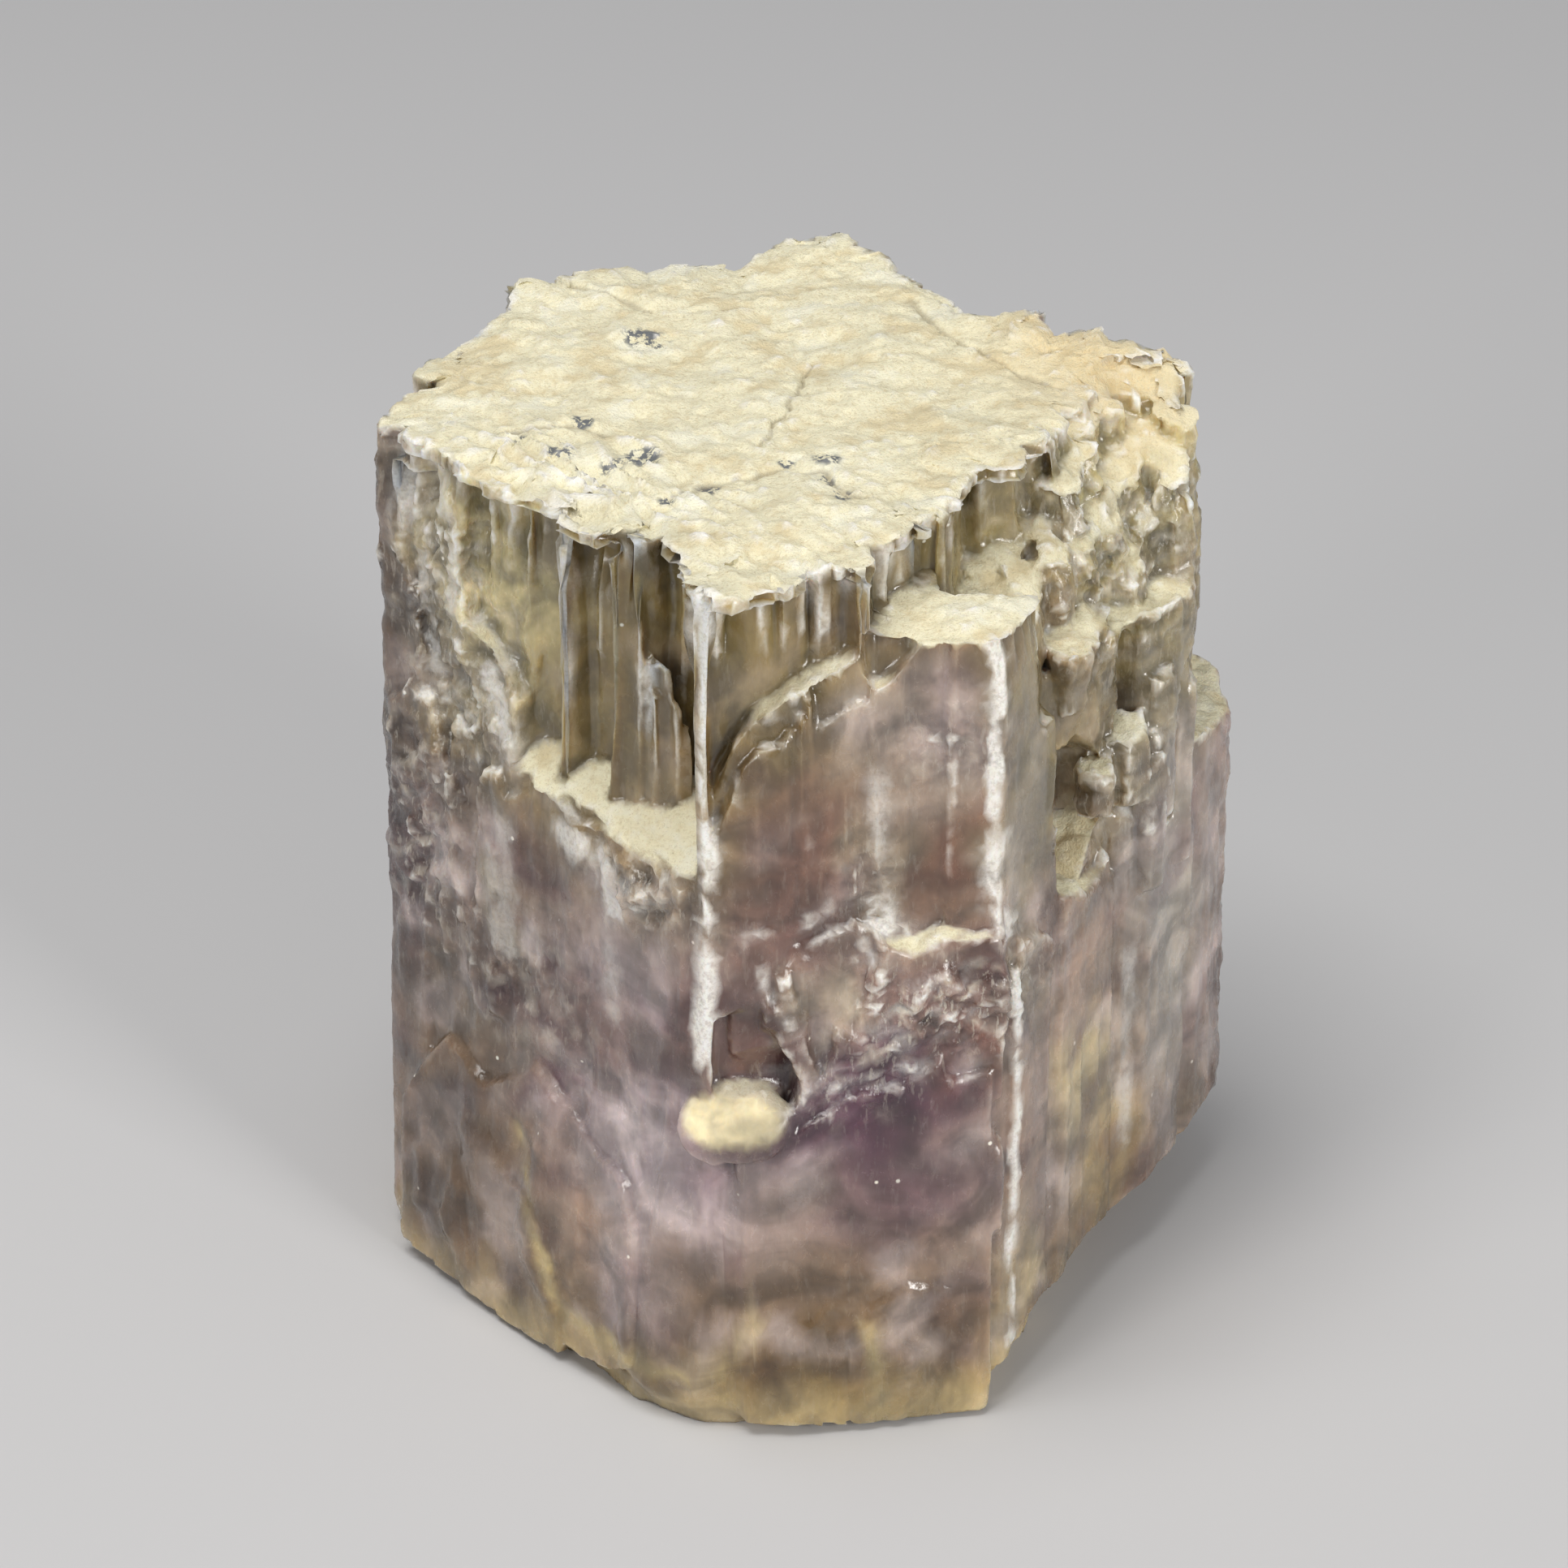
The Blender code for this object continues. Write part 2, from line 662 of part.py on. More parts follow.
def top_steps():
    """The granular step in front of the end face, the floor under the rim and the ledges on the right."""
    step = [
        (2.7, -17.0),
        (10.5, -17.0),
        (10.5, -9.0),
        (8.4, -9.9),
        (7.9, -9.8),
        (7.2, -10.2),
        (5.9, -9.6),
        (5.5, -10.3),
        (4.7, -10.1),
        (4.3, -10.9),
        (3.35, -10.8),
        (3.3, -12.4),
        (2.75, -12.7),
    ]
    yield column("front_step", step, FRONT_LEDGE, HEIGHT + 2, foot_tilt=(0.02, 0.04))
    under_rim = [
        (5.0, -10.8),
        (8.4, -10.8),
        (9.6, -9.0),
        (9.6, -4.9),
        (8.2, -4.6),
        (7.6, -5.5),
        (5.9, -6.2),
    ]
    yield column("under_rim", under_rim, UNDER_RIM_FLOOR, HEIGHT + 2, foot_tilt=(0.0, 0.15))
    shoulder = [
        (8.2, -12.0),
        (15.6, -9.0),
        (15.6, 0.4),
        (14.0, 0.6),
        (12.6, 0.9),
        (10.9, 0.2),
        (9.9, -1.9),
        (8.9, -4.2),
        (8.4, -6.6),
    ]
    yield column("shoulder", shoulder, RIGHT_LEDGE, HEIGHT + 2, foot_tilt=(-0.03, 0.12))


def right_notches():
    """The dark taper behind the narrow column and the sparkling cavity below it."""
    taper = [
        (8.95, -11.0),
        (11.8, -9.0),
        (11.2, -7.3),
        (9.8, -7.4),
        (9.2, -8.3),
        (8.2, -8.7),
        (8.0, -9.7),
        (8.75, -10.3),
    ]
    yield column("dark_taper", taper, 20.4, HEIGHT, foot_tilt=(0.0, 0.1))
    cavity = [(0.35, 17.3), (0.3, 21.0), (1.6, 21.4), (3.0, 21.9), (4.0, 20.8), (4.3, 18.2), (2.4, 16.9)]
    yield notch("cavity", RIGHT_FACE, cavity, 1.9, rise=0.5)
    side = [(5.2, 24.6), (5.0, 21.4), (7.0, 19.4), (9.4, 20.0), (9.2, 23.4), (7.4, 24.8)]
    yield notch("side_scoop", RIGHT_FACE, side, 0.7, rise=0.3)


def back_notches():
    """Notches on the faces turned away."""
    left = [(0.6, 33.0), (0.6, 25.4), (2.2, 24.0), (4.4, 24.8), (4.6, 33.0)]
    yield notch("back_notch_left", (LEFT_STEP, LEFT_BACK), left, 1.2, rise=0.3)
    high = [(0.8, 33.0), (1.2, 27.0), (2.8, 26.0), (4.4, 27.6), (4.6, 33.0)]
    yield notch("back_notch_high", (BACK_DIP, BACK_LEFT), high, 1.3, rise=0.3)
    low = [(0.6, 9.0), (1.2, 14.6), (3.2, 15.8), (4.4, 12.0), (3.4, 8.0)]
    yield notch("back_notch_low", (BACK_DIP, BACK_LEFT), low, 0.8, rise=0.3)
    right = [(0.8, 19.0), (1.0, 26.4), (3.6, 27.2), (5.4, 24.0), (4.6, 18.4)]
    yield notch("back_notch_right", (BACK_RIGHT, RE_ENTRANT), right, 1.0, rise=0.3)


def foot_chips():
    """The broken foot: a step under the narrow column and a slanting break under the right side."""
    step = [(6.85, -17.0), (12.5, -14.0), (11.6, -6.6), (9.6, -8.4), (8.2, -10.0), (6.85, -10.9)]
    yield column("foot_step", step, -2.0, 1.9, tilt=(0.12, 0.1))
    slant = [
        (8.3, -1.0),
        (8.5, 2.1),
        (9.8, 2.6),
        (11.0, 3.0),
        (12.4, 3.0),
        (13.4, 3.8),
        (14.3, 5.0),
        (15.4, 5.8),
        (17.5, 8.4),
        (17.5, -1.0),
    ]
    front = [(x - 0.6, -12.5, z) for x, z in slant]
    back = [(x + 3.6, 9.0, z - 0.6) for x, z in slant]
    yield rings_to_solid("right_foot_break", [front, back])


def crystal_material():
    material = bpy.data.materials.new("aragonite")
    material.use_nodes = True
    surface = material.node_tree.nodes["Principled BSDF"]
    surface.inputs["Base Color"].default_value = (0.42, 0.35, 0.30, 1)
    surface.inputs["Roughness"].default_value = 0.35
    surface.inputs["Metallic"].default_value = 0.0
    return material


def build():
    for obj in list(bpy.data.objects):
        bpy.data.objects.remove(obj)
    crystal = trunk()
    carve(crystal, *left_notches(), *front_notches(), *right_notches(), *back_notches(), *top_steps())
    grow(crystal, cap(), *shoulder_columns(), *right_ledges(), *crumb_columns())
    grow(crystal, *left_plates(), *right_plates(), *back_columns(), *front_plates())
    carve(crystal, *front_pockets())
    grow(crystal, chip())
    carve(crystal, *foot_chips())
    fill_sealed_gaps(crystal)
    crystal.name = "aragonite_crystal"
    crystal.data.name = "aragonite_crystal"
    xs = [vert.co.x for vert in crystal.data.vertices]
    ys = [vert.co.y for vert in crystal.data.vertices]
    middle = Vector((min(xs) + max(xs), min(ys) + max(ys), 0.0)) / 2
    crystal.data.transform(Matrix.Translation(-middle))
    crystal.data.materials.clear()
    crystal.data.materials.append(crystal_material())
    print("moved in plan by, in mm:", [round(-c / MM, 3) for c in middle])


build()
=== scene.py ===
import itertools
import math
import random

import bmesh
import bpy
import numpy as np
from mathutils import Matrix, Vector
from mathutils.bvhtree import BVHTree
from mathutils.kdtree import KDTree


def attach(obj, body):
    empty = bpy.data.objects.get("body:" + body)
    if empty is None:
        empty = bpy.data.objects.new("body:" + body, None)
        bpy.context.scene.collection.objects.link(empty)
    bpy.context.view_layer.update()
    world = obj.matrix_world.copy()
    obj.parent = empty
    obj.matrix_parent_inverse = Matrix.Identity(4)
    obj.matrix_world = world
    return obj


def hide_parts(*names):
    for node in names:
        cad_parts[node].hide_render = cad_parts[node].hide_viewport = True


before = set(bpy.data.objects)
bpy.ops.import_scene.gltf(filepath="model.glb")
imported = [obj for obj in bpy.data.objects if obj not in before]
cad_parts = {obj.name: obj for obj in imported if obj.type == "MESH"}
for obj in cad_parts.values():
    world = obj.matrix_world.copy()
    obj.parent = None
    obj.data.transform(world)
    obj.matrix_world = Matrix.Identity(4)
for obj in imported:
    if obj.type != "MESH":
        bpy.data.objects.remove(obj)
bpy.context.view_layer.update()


# The aragonite body. The real piece is one natural twin: a bundle of upright columns that grew together,
# cloudy and glassy on its sides, with a dull granular crust on every face that looks up. The fluted solid
# is dressed with splinters and growth blades, grown together with them, and then weathered.

# Shapes are worked out in mm. GRAIN is the side of a cell of the remesh, and BLADE_ROOT is how deep a blade
# is rooted in the solid
MM = 0.001
PER_METRE = 1000
SAME_POINT = 0.00001
GRAIN = 0.135
BLADE_ROOT = 0.55

solid = bmesh.new()
solid.from_mesh(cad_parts["aragonite_crystal"].data)
bmesh.ops.remove_doubles(solid, verts=solid.verts, dist=SAME_POINT * MM)
bmesh.ops.scale(solid, vec=(PER_METRE, PER_METRE, PER_METRE), verts=solid.verts)
walls = BVHTree.FromBMesh(solid)

lattice = np.random.default_rng(5)
SHUFFLE = lattice.permutation(256)
LEANS = lattice.normal(size=(256, 3))
LEANS /= np.linalg.norm(LEANS, axis=1)[:, None]


def lumps(points, size, seed=0):
    """Smooth noise of about -1 to 1 at each point. size is how big the lumps are, one number or three."""
    at = points / np.asarray(size, float) + seed * 13.7
    cell = np.floor(at).astype(np.int64)
    inside = at - cell
    ease = inside ** 3 * (inside * (inside * 6 - 15) + 10)
    total = np.zeros(len(at))
    for corner in itertools.product((0, 1), repeat=3):
        x, y, z = ((cell + corner) & 255).T
        pull = LEANS[SHUFFLE[(SHUFFLE[(SHUFFLE[x] + y) & 255] + z) & 255]]
        share = np.prod(np.where(corner, ease, 1 - ease), axis=1)
        total += share * np.einsum("ij,ij->i", pull, inside - corner)
    return total * 1.6


def ramp(low, high, value):
    """0 at low, 1 at high, and smooth between them. It falls where low is the larger number."""
    t = np.clip((value - low) / (high - low), 0, 1)
    return t * t * (3 - 2 * t)


def steps(value, number):
    """The value in flat steps, this many to one, with short smooth risers."""
    scaled = value * number
    base = np.floor(scaled)
    return (base + ramp(0.38, 0.62, scaled - base)) / number


def near(points, place, reach, rise):
    """How near each point is to a place: 1 there, and less with reach across and rise upwards."""
    gap = (points - np.asarray(place, float)) / np.array([reach, reach, rise])
    return np.exp(-np.einsum("ij,ij->i", gap, gap))


def along(points, start, end, reach):
    """How near each point is to the line from start to end: 1 on it, and 0 a few times reach away."""
    a, b = np.asarray(start, float), np.asarray(end, float)
    share = np.clip((points - a) @ (b - a) / ((b - a) @ (b - a)), 0, 1)
    gap = np.linalg.norm(points - a - share[:, None] * (b - a), axis=1)
    return np.exp(-((gap / reach) ** 2))


def beside(points, path, reach):
    """How near each point is to a path of several stretches."""
    return np.max([along(points, start, end, reach) for start, end in zip(path, path[1:])], axis=0)


def shifts(points, size, seed):
    """Three numbers of smooth noise for each point, to push it about with."""
    return np.stack([lumps(points, size, seed + axis) for axis in range(3)], axis=1)


# Where the sides are broken and where they are glassy: a place, its reach across and upwards, and how much
BROKEN_PLACES = [
    ((4.2, -12.0, 15.9), 4.6, 1.7, 0.95),
    ((0.2, -12.8, 13.3), 2.4, 1.0, 0.60),
    ((-12.8, -2.2, 17.5), 2.6, 4.5, 0.65),
    ((-12.0, -2.9, 27.5), 2.6, 4.2, 0.85),
    ((-5.2, -10.4, 19.6), 2.6, 1.1, 0.95),
    ((-9.0, -7.0, 13.0), 4.0, 3.0, 0.35),
    ((-10.6, -4.7, 22.8), 1.6, 2.0, 0.60),
    ((11.0, -3.0, 27.5), 4.6, 3.6, 0.85),
    ((9.5, -4.5, 19.5), 2.6, 2.6, 0.50),
    ((2.0, -12.0, 20.2), 1.0, 2.4, 0.50),
    ((4.6, -11.4, 25.2), 2.0, 1.2, 0.35),
]
GLASSY_PLACES = [
    ((0.7, -12.5, 16.2), 1.1, 1.5, 1.0),
    ((-2.4, -12.2, 14.8), 1.2, 1.4, 1.0),
]


def gathered(points, places):
    """How near each point is to the places of a list, each times how much it counts, all added up."""
    return sum(much * near(points, place, reach, rise) for place, reach, rise, much in places)


def brokenness(points):
    """How broken the crystal is, from 0 where it is glassy to about 1. The far side is a little broken."""
    rough = 0.10 + gathered(points, BROKEN_PLACES) + 0.30 * ramp(0, 6, points[:, 1])
    glassy = np.clip(gathered(points, GLASSY_PLACES), 0, 0.9)
    return np.clip(rough * (1 - glassy), 0, 1.2)


# Where blades grow: a bearing seen from above (0 is right, -90 is the front), its spread, the heights,
# how many, their widths and their lengths
BLADE_BANDS = [
    ("flutes under the rim, left", -138, 34, 22.5, 30.6, 70, 0.16, 0.45, 1.5, 6.0),
    ("left strip", -165, 24, 14.0, 30.5, 130, 0.3, 1.2, 0.6, 3.0),
    ("left, below the ledge", -143, 32, 10.0, 20.5, 56, 0.4, 1.6, 1.0, 4.0),
    ("left foot", -140, 45, 1.5, 10.0, 4, 1.2, 3.0, 1.8, 5.0),
    ("front, above", -82, 26, 18.5, 29.5, 40, 0.2, 0.7, 1.5, 6.0),
    ("front, broad faces", -84, 24, 4.0, 28.0, 14, 1.2, 2.6, 3.0, 8.0),
    ("front, the rough band", -78, 24, 12.8, 18.0, 30, 0.5, 1.8, 0.6, 1.6),
    ("front foot", -84, 30, 1.2, 12.0, 4, 1.0, 2.6, 1.8, 5.5),
    ("right slope", -14, 34, 19.0, 30.4, 150, 0.25, 0.9, 0.5, 2.4),
    ("right, below the cavity", -22, 40, 1.5, 17.0, 60, 0.3, 1.4, 2.0, 7.0),
    ("turned away, above", 90, 85, 15.0, 30.5, 150, 0.3, 1.4, 1.2, 6.5),
    ("turned away, below", 90, 85, 1.5, 17.0, 110, 0.4, 2.0, 1.5, 7.0),
]

# No blade grows this near to one of these upright edges, seen from above
EDGES_KEPT_SHARP = [((-3.4, -13.2), 1.0), ((6.2, -11.5), 0.5), ((6.9, -11.0), 0.5)]

# A ray to the axis starts FAR_OUT from it. No blade grows where the wall that it meets leans by more than
# STEEPEST, or steps in or out by OUT_OF_LINE at an end of the blade. No blade reaches below BLADES_FROM or
# above BLADES_TO
FAR_OUT = 40
STEEPEST = 0.35
OUT_OF_LINE = 0.45
BLADES_FROM = 0.35
BLADES_TO = 31.2


def add_column(sides):
    """Adds an upright column of this many sides, 1 mm across and 1 mm high, and gives its corners."""
    return bmesh.ops.create_cone(
        blades, cap_ends=True, segments=sides, radius1=0.5, radius2=0.5, depth=1
    )["verts"]


dice = random.Random(11)
blades = bmesh.new()
for _, bearing, spread, lowest, highest, number, thin, wide, short, long in BLADE_BANDS:
    for _ in range(number):
        turn = math.radians(bearing + dice.uniform(-spread, spread))
        height = dice.uniform(lowest, highest)
        outside = Vector((FAR_OUT * math.cos(turn), FAR_OUT * math.sin(turn), height))
        inward = Vector((-math.cos(turn), -math.sin(turn), 0))
        spot, normal, _, _ = walls.ray_cast(outside, inward)
        if spot is None or abs(normal.z) > STEEPEST:
            continue
        if any((spot.xy - Vector(corner)).length < clear for corner, clear in EDGES_KEPT_SHARP):
            continue
        ragged = float(brokenness(np.array([spot]))[0])
        width = dice.uniform(thin, wide)
        length = dice.uniform(short, long)
        ends = [outside + Vector((0, 0, end * length * 1.1)) for end in (-0.5, 0.5)]
        met = [walls.ray_cast(end, inward)[0] for end in ends]
        if any(found is None or (found.xy - spot.xy).length >= OUT_OF_LINE for found in met):
            continue
        stand = dice.uniform(0.015, 0.075) + ragged * dice.uniform(0.0, 0.26)
        made = add_column(dice.choice((5, 6, 7)))
        lean = (0.25 + ragged) * dice.uniform(-1, 1)
        cut = 0.5 + ragged * dice.random()
        for vert in made:
            end = 1 if vert.co.z > 0 else -1
            vert.co.z = end * length / 2 + (lean * vert.co.x - end * cut * vert.co.y) * width
        away = Vector((normal.x, normal.y, 0)).normalized()
        depth = BLADE_ROOT + stand
        bmesh.ops.scale(blades, vec=(width, depth * 1.1, 1), verts=made)
        spin = Matrix.Rotation(math.atan2(away.y, away.x) - math.pi / 2, 4, "Z")
        tip = Matrix.Rotation(math.radians(dice.uniform(-1, 1) * (1 + 6 * ragged)), 4, "Y")
        middle = Matrix.Translation(spot + away * (stand - depth * 0.5))
        bmesh.ops.transform(blades, matrix=middle @ spin @ tip, verts=made)

# Thin columns that stand on the ledge at the back of the deep notch: how many, and the line they follow
NOTCH_COLUMNS = 11
NOTCH_LINE = (Vector((-6.3, -8.4, 20.2)), Vector((-3.9, -9.9, 20.2)))
for index in range(NOTCH_COLUMNS):
    foot = NOTCH_LINE[0].lerp(NOTCH_LINE[1], index / (NOTCH_COLUMNS - 1))
    foot = foot + Vector((dice.uniform(-0.2, 0.2), dice.uniform(-0.1, 0.5), 0))
    length = dice.uniform(3.5, 10.6)
    width = dice.uniform(0.45, 0.85)
    made = add_column(dice.choice((5, 6)))
    for vert in made:
        vert.co.z = (vert.co.z + 0.5) * length + (0.6 * vert.co.x if vert.co.z > 0 else 0)
    bmesh.ops.scale(blades, vec=(width, width, 1), verts=made)
    spin = Matrix.Rotation(dice.uniform(0, 3), 4, "Z")
    bmesh.ops.transform(blades, matrix=Matrix.Translation(foot) @ spin, verts=made)

for vert in blades.verts:
    vert.co.z = min(max(vert.co.z, BLADES_FROM), BLADES_TO)

# The solid and the blades become one skin
joined = bpy.data.meshes.new("crystal_solid")
both = bmesh.new()
for part in (solid, blades):
    part.to_mesh(joined)
    both.from_mesh(joined)
both.to_mesh(joined)
for part in (solid, blades, both):
    part.free()
body = bpy.data.objects.new("crystal_solid", joined)
bpy.context.scene.collection.objects.link(body)
fusing = body.modifiers.new("fuse", "REMESH")
fusing.mode = "VOXEL"
fusing.voxel_size = GRAIN
fusing.adaptivity = 0.0
bpy.context.view_layer.update()
crystal_mesh = bpy.data.meshes.new_from_object(body.evaluated_get(bpy.context.evaluated_depsgraph_get()))
bpy.data.objects.remove(body)


def table(items, name, width, kind=float):
    """What each item of a mesh has under this name, a row of so many numbers for each."""
    values = np.zeros(len(items) * width, kind)
    items.foreach_get(name, values)
    return values.reshape(-1, width)


points = table(crystal_mesh.vertices, "co", 3)
facing = table(crystal_mesh.vertex_normals, "vector", 3)
edges = table(crystal_mesh.edges, "vertices", 2, np.int64)
count = len(points)
neighbours = np.bincount(edges.ravel(), minlength=count).astype(float)


def smoothed(values, rounds):
    """The values, each averaged with its neighbours on the surface, this many times."""
    flat = values.reshape(count, -1).astype(float)
    for _ in range(rounds):
        total = np.zeros_like(flat)
        for column in range(flat.shape[1]):
            total[:, column] = np.bincount(edges[:, 0], flat[edges[:, 1], column], count)
            total[:, column] += np.bincount(edges[:, 1], flat[edges[:, 0], column], count)
        flat = 0.5 * flat + 0.5 * total / neighbours[:, None]
    return flat.reshape(values.shape)


def standing_out(places, rounds):
    """How far each place stands out from its surroundings, which are wider the more rounds it takes."""
    return np.einsum("ij,ij->i", places - smoothed(places, rounds), facing)


# What each point is like: whether it is on a wall or looks up, how broad its ledge is, whether it is on the
# end face, how clear it is of the foot, and which way is outward
TINY = 1e-9
x, y, z = points.T
level = smoothed(facing, 3)[:, 2]
wall = 1 - ramp(0.35, 0.7, np.abs(level))
top = ramp(0.4, 0.75, level)
breadth = smoothed(top, 30)
end_face = top * ramp(30.2, 31.0, z)
free = ramp(0.0, 1.4, z)
outward = facing * [1, 1, 0]
outward /= np.linalg.norm(outward, axis=1)[:, None] + TINY
broken = brokenness(points)
moved = points.copy()

# Heads of plates and ledges end column by column, not on one line
heads = (0.07 + 0.20 * broken) * steps(lumps(points * [1, 1, 0.02], 0.9, 1), 3)
heads += (0.05 + 0.10 * broken) * lumps(points * [1, 1, 0.05], 0.4, 2)
heads += 0.26 * lumps(points * [1, 1, 0.1], 2.8, 3)
calm = 1 - 0.85 * near(points, (-6.0, -8.6, 21.4), 3.4, 1.0)
moved[:, 2] += heads * free * calm * (1 - 0.75 * ramp(29.8, 31.0, z))

# Upright edges waver a little, more where the side is broken
for axis in (0, 1):
    waver = (0.06 + 0.16 * broken) * lumps(points, (1.8, 1.8, 6.0), 4 + axis)
    waver += (0.03 + 0.08 * broken) * lumps(points, (0.6, 0.6, 2.6), 6 + axis)
    waver += broken * 0.13 * lumps(points, (0.7, 0.7, 0.9), 8 + axis)
    moved[:, axis] += waver * (0.35 + 0.65 * free)

# Growth terraces and flutes on the sides, and shells where they broke across
slanted = points @ np.array([[0.90, 0.0, -0.42], [0.0, 1.0, 0.0], [0.42, 0.0, 0.90]])
terraces = steps(lumps(points, (1.7, 1.7, 8.0), 11) + 0.35 * lumps(points, (0.8, 0.8, 3.4), 12), 3)
flutes = lumps(points, (0.5, 0.5, 12.0), 13) * ramp(8.0, 16.0, z)
shells = steps(lumps(slanted, (2.0, 2.0, 0.75), 14) + 0.5 * lumps(slanted, (0.8, 0.8, 0.4), 15), 4)
splinters = -np.abs(lumps(slanted, (0.8, 0.8, 0.35), 16))
relief = (0.08 + 0.12 * broken) * terraces + 0.03 * flutes
relief += broken * (0.22 * shells + 0.22 * (splinters + 0.3))
moved += outward * (relief * wall * free)[:, None]

# Under the end face the columns stand as sharp arrises between hollow flutes, most of all in these places.
# The rim is bitten, and within RIM_REACH the end face follows the nearest point of the rim
FLUTED_PLACES = [
    ((-6.2, -8.6, 26.5), 3.6, 5.5, 0.75),
    ((0.5, -11.8, 28.5), 3.0, 3.0, 0.30),
    ((6.0, -7.5, 29.5), 3.0, 2.5, 0.50),
]
RIM_REACH = 1.5
columns = points * [1, 1, 0.05]
hollows = 0.85 * np.abs(lumps(columns, 1.7, 81)) + 0.45 * np.abs(lumps(columns, 0.75, 82))
fluted = gathered(points, FLUTED_PLACES) + 0.55 * ramp(25.0, 29.0, z) * ramp(-4.0, 6.0, y)
bites = 1.25 * np.maximum(0, lumps(columns, 1.3, 24) - 0.05) + 0.8 * np.maximum(0, lumps(columns, 0.55, 25))
bitten = ramp(27.4 + 1.6 * lumps(columns, 0.9, 83), 30.1, z)
pulled_in = -outward * ((hollows * np.clip(fluted, 0, 0.9) + bites * bitten) * wall * free)[:, None]
rim_at = np.flatnonzero((z > 30.1) & (z < 31.0) & (wall > 0.8))
rim_tree = KDTree(len(rim_at))
for index in rim_at:
    rim_tree.insert((x[index], y[index], 0), int(index))
rim_tree.balance()
for index in np.flatnonzero((z > 30.6) & (wall < 0.8)):
    _, closest, far = rim_tree.find((x[index], y[index], 0))
    pulled_in[index] = pulled_in[closest] * math.exp(-((far / RIM_REACH) ** 2))
moved += pulled_in

# Raised rims, where one growth layer ends on the next: a path, a width and a rise
RIMS = [
    ([(-2.0, -12.9, 18.9), (-0.7, -12.6, 19.0), (0.4, -12.2, 19.3), (1.4, -12.1, 19.8),
      (2.2, -12.0, 19.2)], 0.20, 0.06),
    ([(2.2, -12.0, 19.2), (3.5, -11.6, 18.4), (4.8, -11.7, 18.8), (5.6, -11.5, 19.1),
      (7.0, -10.1, 17.8)], 0.22, 0.06),
    ([(-1.0, -13.3, 12.4), (0.1, -13.0, 12.7), (1.2, -12.8, 13.4), (2.2, -12.6, 13.8),
      (3.5, -12.4, 14.0)], 0.16, 0.07),
    ([(-1.7, -12.8, 17.9), (-1.0, -13.1, 16.2), (-0.1, -13.0, 14.5)], 0.14, 0.05),
    ([(1.7, -12.0, 19.3), (2.1, -12.3, 17.9), (1.9, -12.5, 16.5), (1.1, -12.4, 15.2),
      (0.0, -13.0, 14.5)], 0.14, 0.05),
    ([(-2.4, -13.0, 24.0), (-1.9, -12.4, 25.5), (-1.3, -12.3, 26.6), (-0.3, -11.8, 27.7),
      (0.8, -11.8, 28.2)], 0.18, 0.04),
    ([(-2.2, -12.4, 25.3), (-1.2, -12.2, 26.9), (0.1, -12.0, 26.8), (1.1, -11.8, 27.0),
      (2.1, -12.0, 26.8)], 0.16, 0.04),
    ([(-6.5, -9.9, 19.5), (-6.0, -10.5, 18.9), (-5.2, -11.5, 19.7), (-4.4, -12.0, 20.6)], 0.30, 0.12),
    ([(-11.0, -4.4, 23.6), (-10.6, -4.7, 22.7), (-10.1, -5.3, 22.3), (-9.2, -5.7, 21.7)], 0.22, 0.06),
    ([(-12.3, -2.6, 22.1), (-11.2, -3.5, 22.0), (-10.6, -4.6, 21.4), (-10.9, -4.4, 20.1)], 0.18, 0.05),
]

# Sunken seams: a path and a width
SEAMS = [
    ([(-9.9, -7.1, 8.0), (-9.6, -8.0, 5.5), (-8.8, -9.1, 3.3), (-8.1, -9.7, 2.0),
      (-6.5, -11.5, 1.9)], 0.32),
    ([(-6.5, -11.5, 1.9), (-4.5, -12.9, 1.9), (-2.9, -13.4, 2.6), (-1.8, -13.8, 4.3)], 0.30),
    ([(2.2, -13.4, 0.2), (2.4, -13.3, 2.4), (2.1, -13.2, 4.2)], 0.30),
]
SEAM_DEPTH = 0.10
wavering = points + (0.30 * shifts(points, 1.0, 61) + 0.16 * shifts(points, 0.4, 64))
rim = np.zeros(count)
raised = np.zeros(count)
for path, width, lift in RIMS:
    here = beside(wavering, path, width)
    rim = np.maximum(rim, here)
    raised = np.maximum(raised, here * lift)
seam = np.zeros(count)
for path, width in SEAMS:
    seam = np.maximum(seam, beside(wavering, path, width))
moved += outward * ((raised - SEAM_DEPTH * seam) * wall)[:, None]

# Smooth tongues low on the sides, each a place with its reach across and upwards
TONGUES = [
    ((-8.6, -8.7, 5.4), 2.0, 4.2),
    ((-4.6, -12.6, 2.6), 2.4, 2.6),
    ((1.2, -13.5, 2.0), 3.0, 3.4),
    ((-11.9, -3.6, 3.6), 2.2, 3.0),
]
tongue = np.zeros(count)
for place, reach, rise in TONGUES:
    tongue = np.maximum(tongue, ramp(0.40, 0.60, near(wavering, place, reach, rise)))
moved += outward * (0.20 * tongue * wall)[:, None]

# Every edge is chipped a little
chips = 0.45 * np.maximum(0, lumps(points, 0.7, 86)) + 0.35 * np.maximum(0, lumps(points, 0.34, 87))
chips *= ramp(0.05, 0.18, standing_out(points, 12)) * ramp(5.0, 12.0, z)
moved -= facing * chips[:, None]

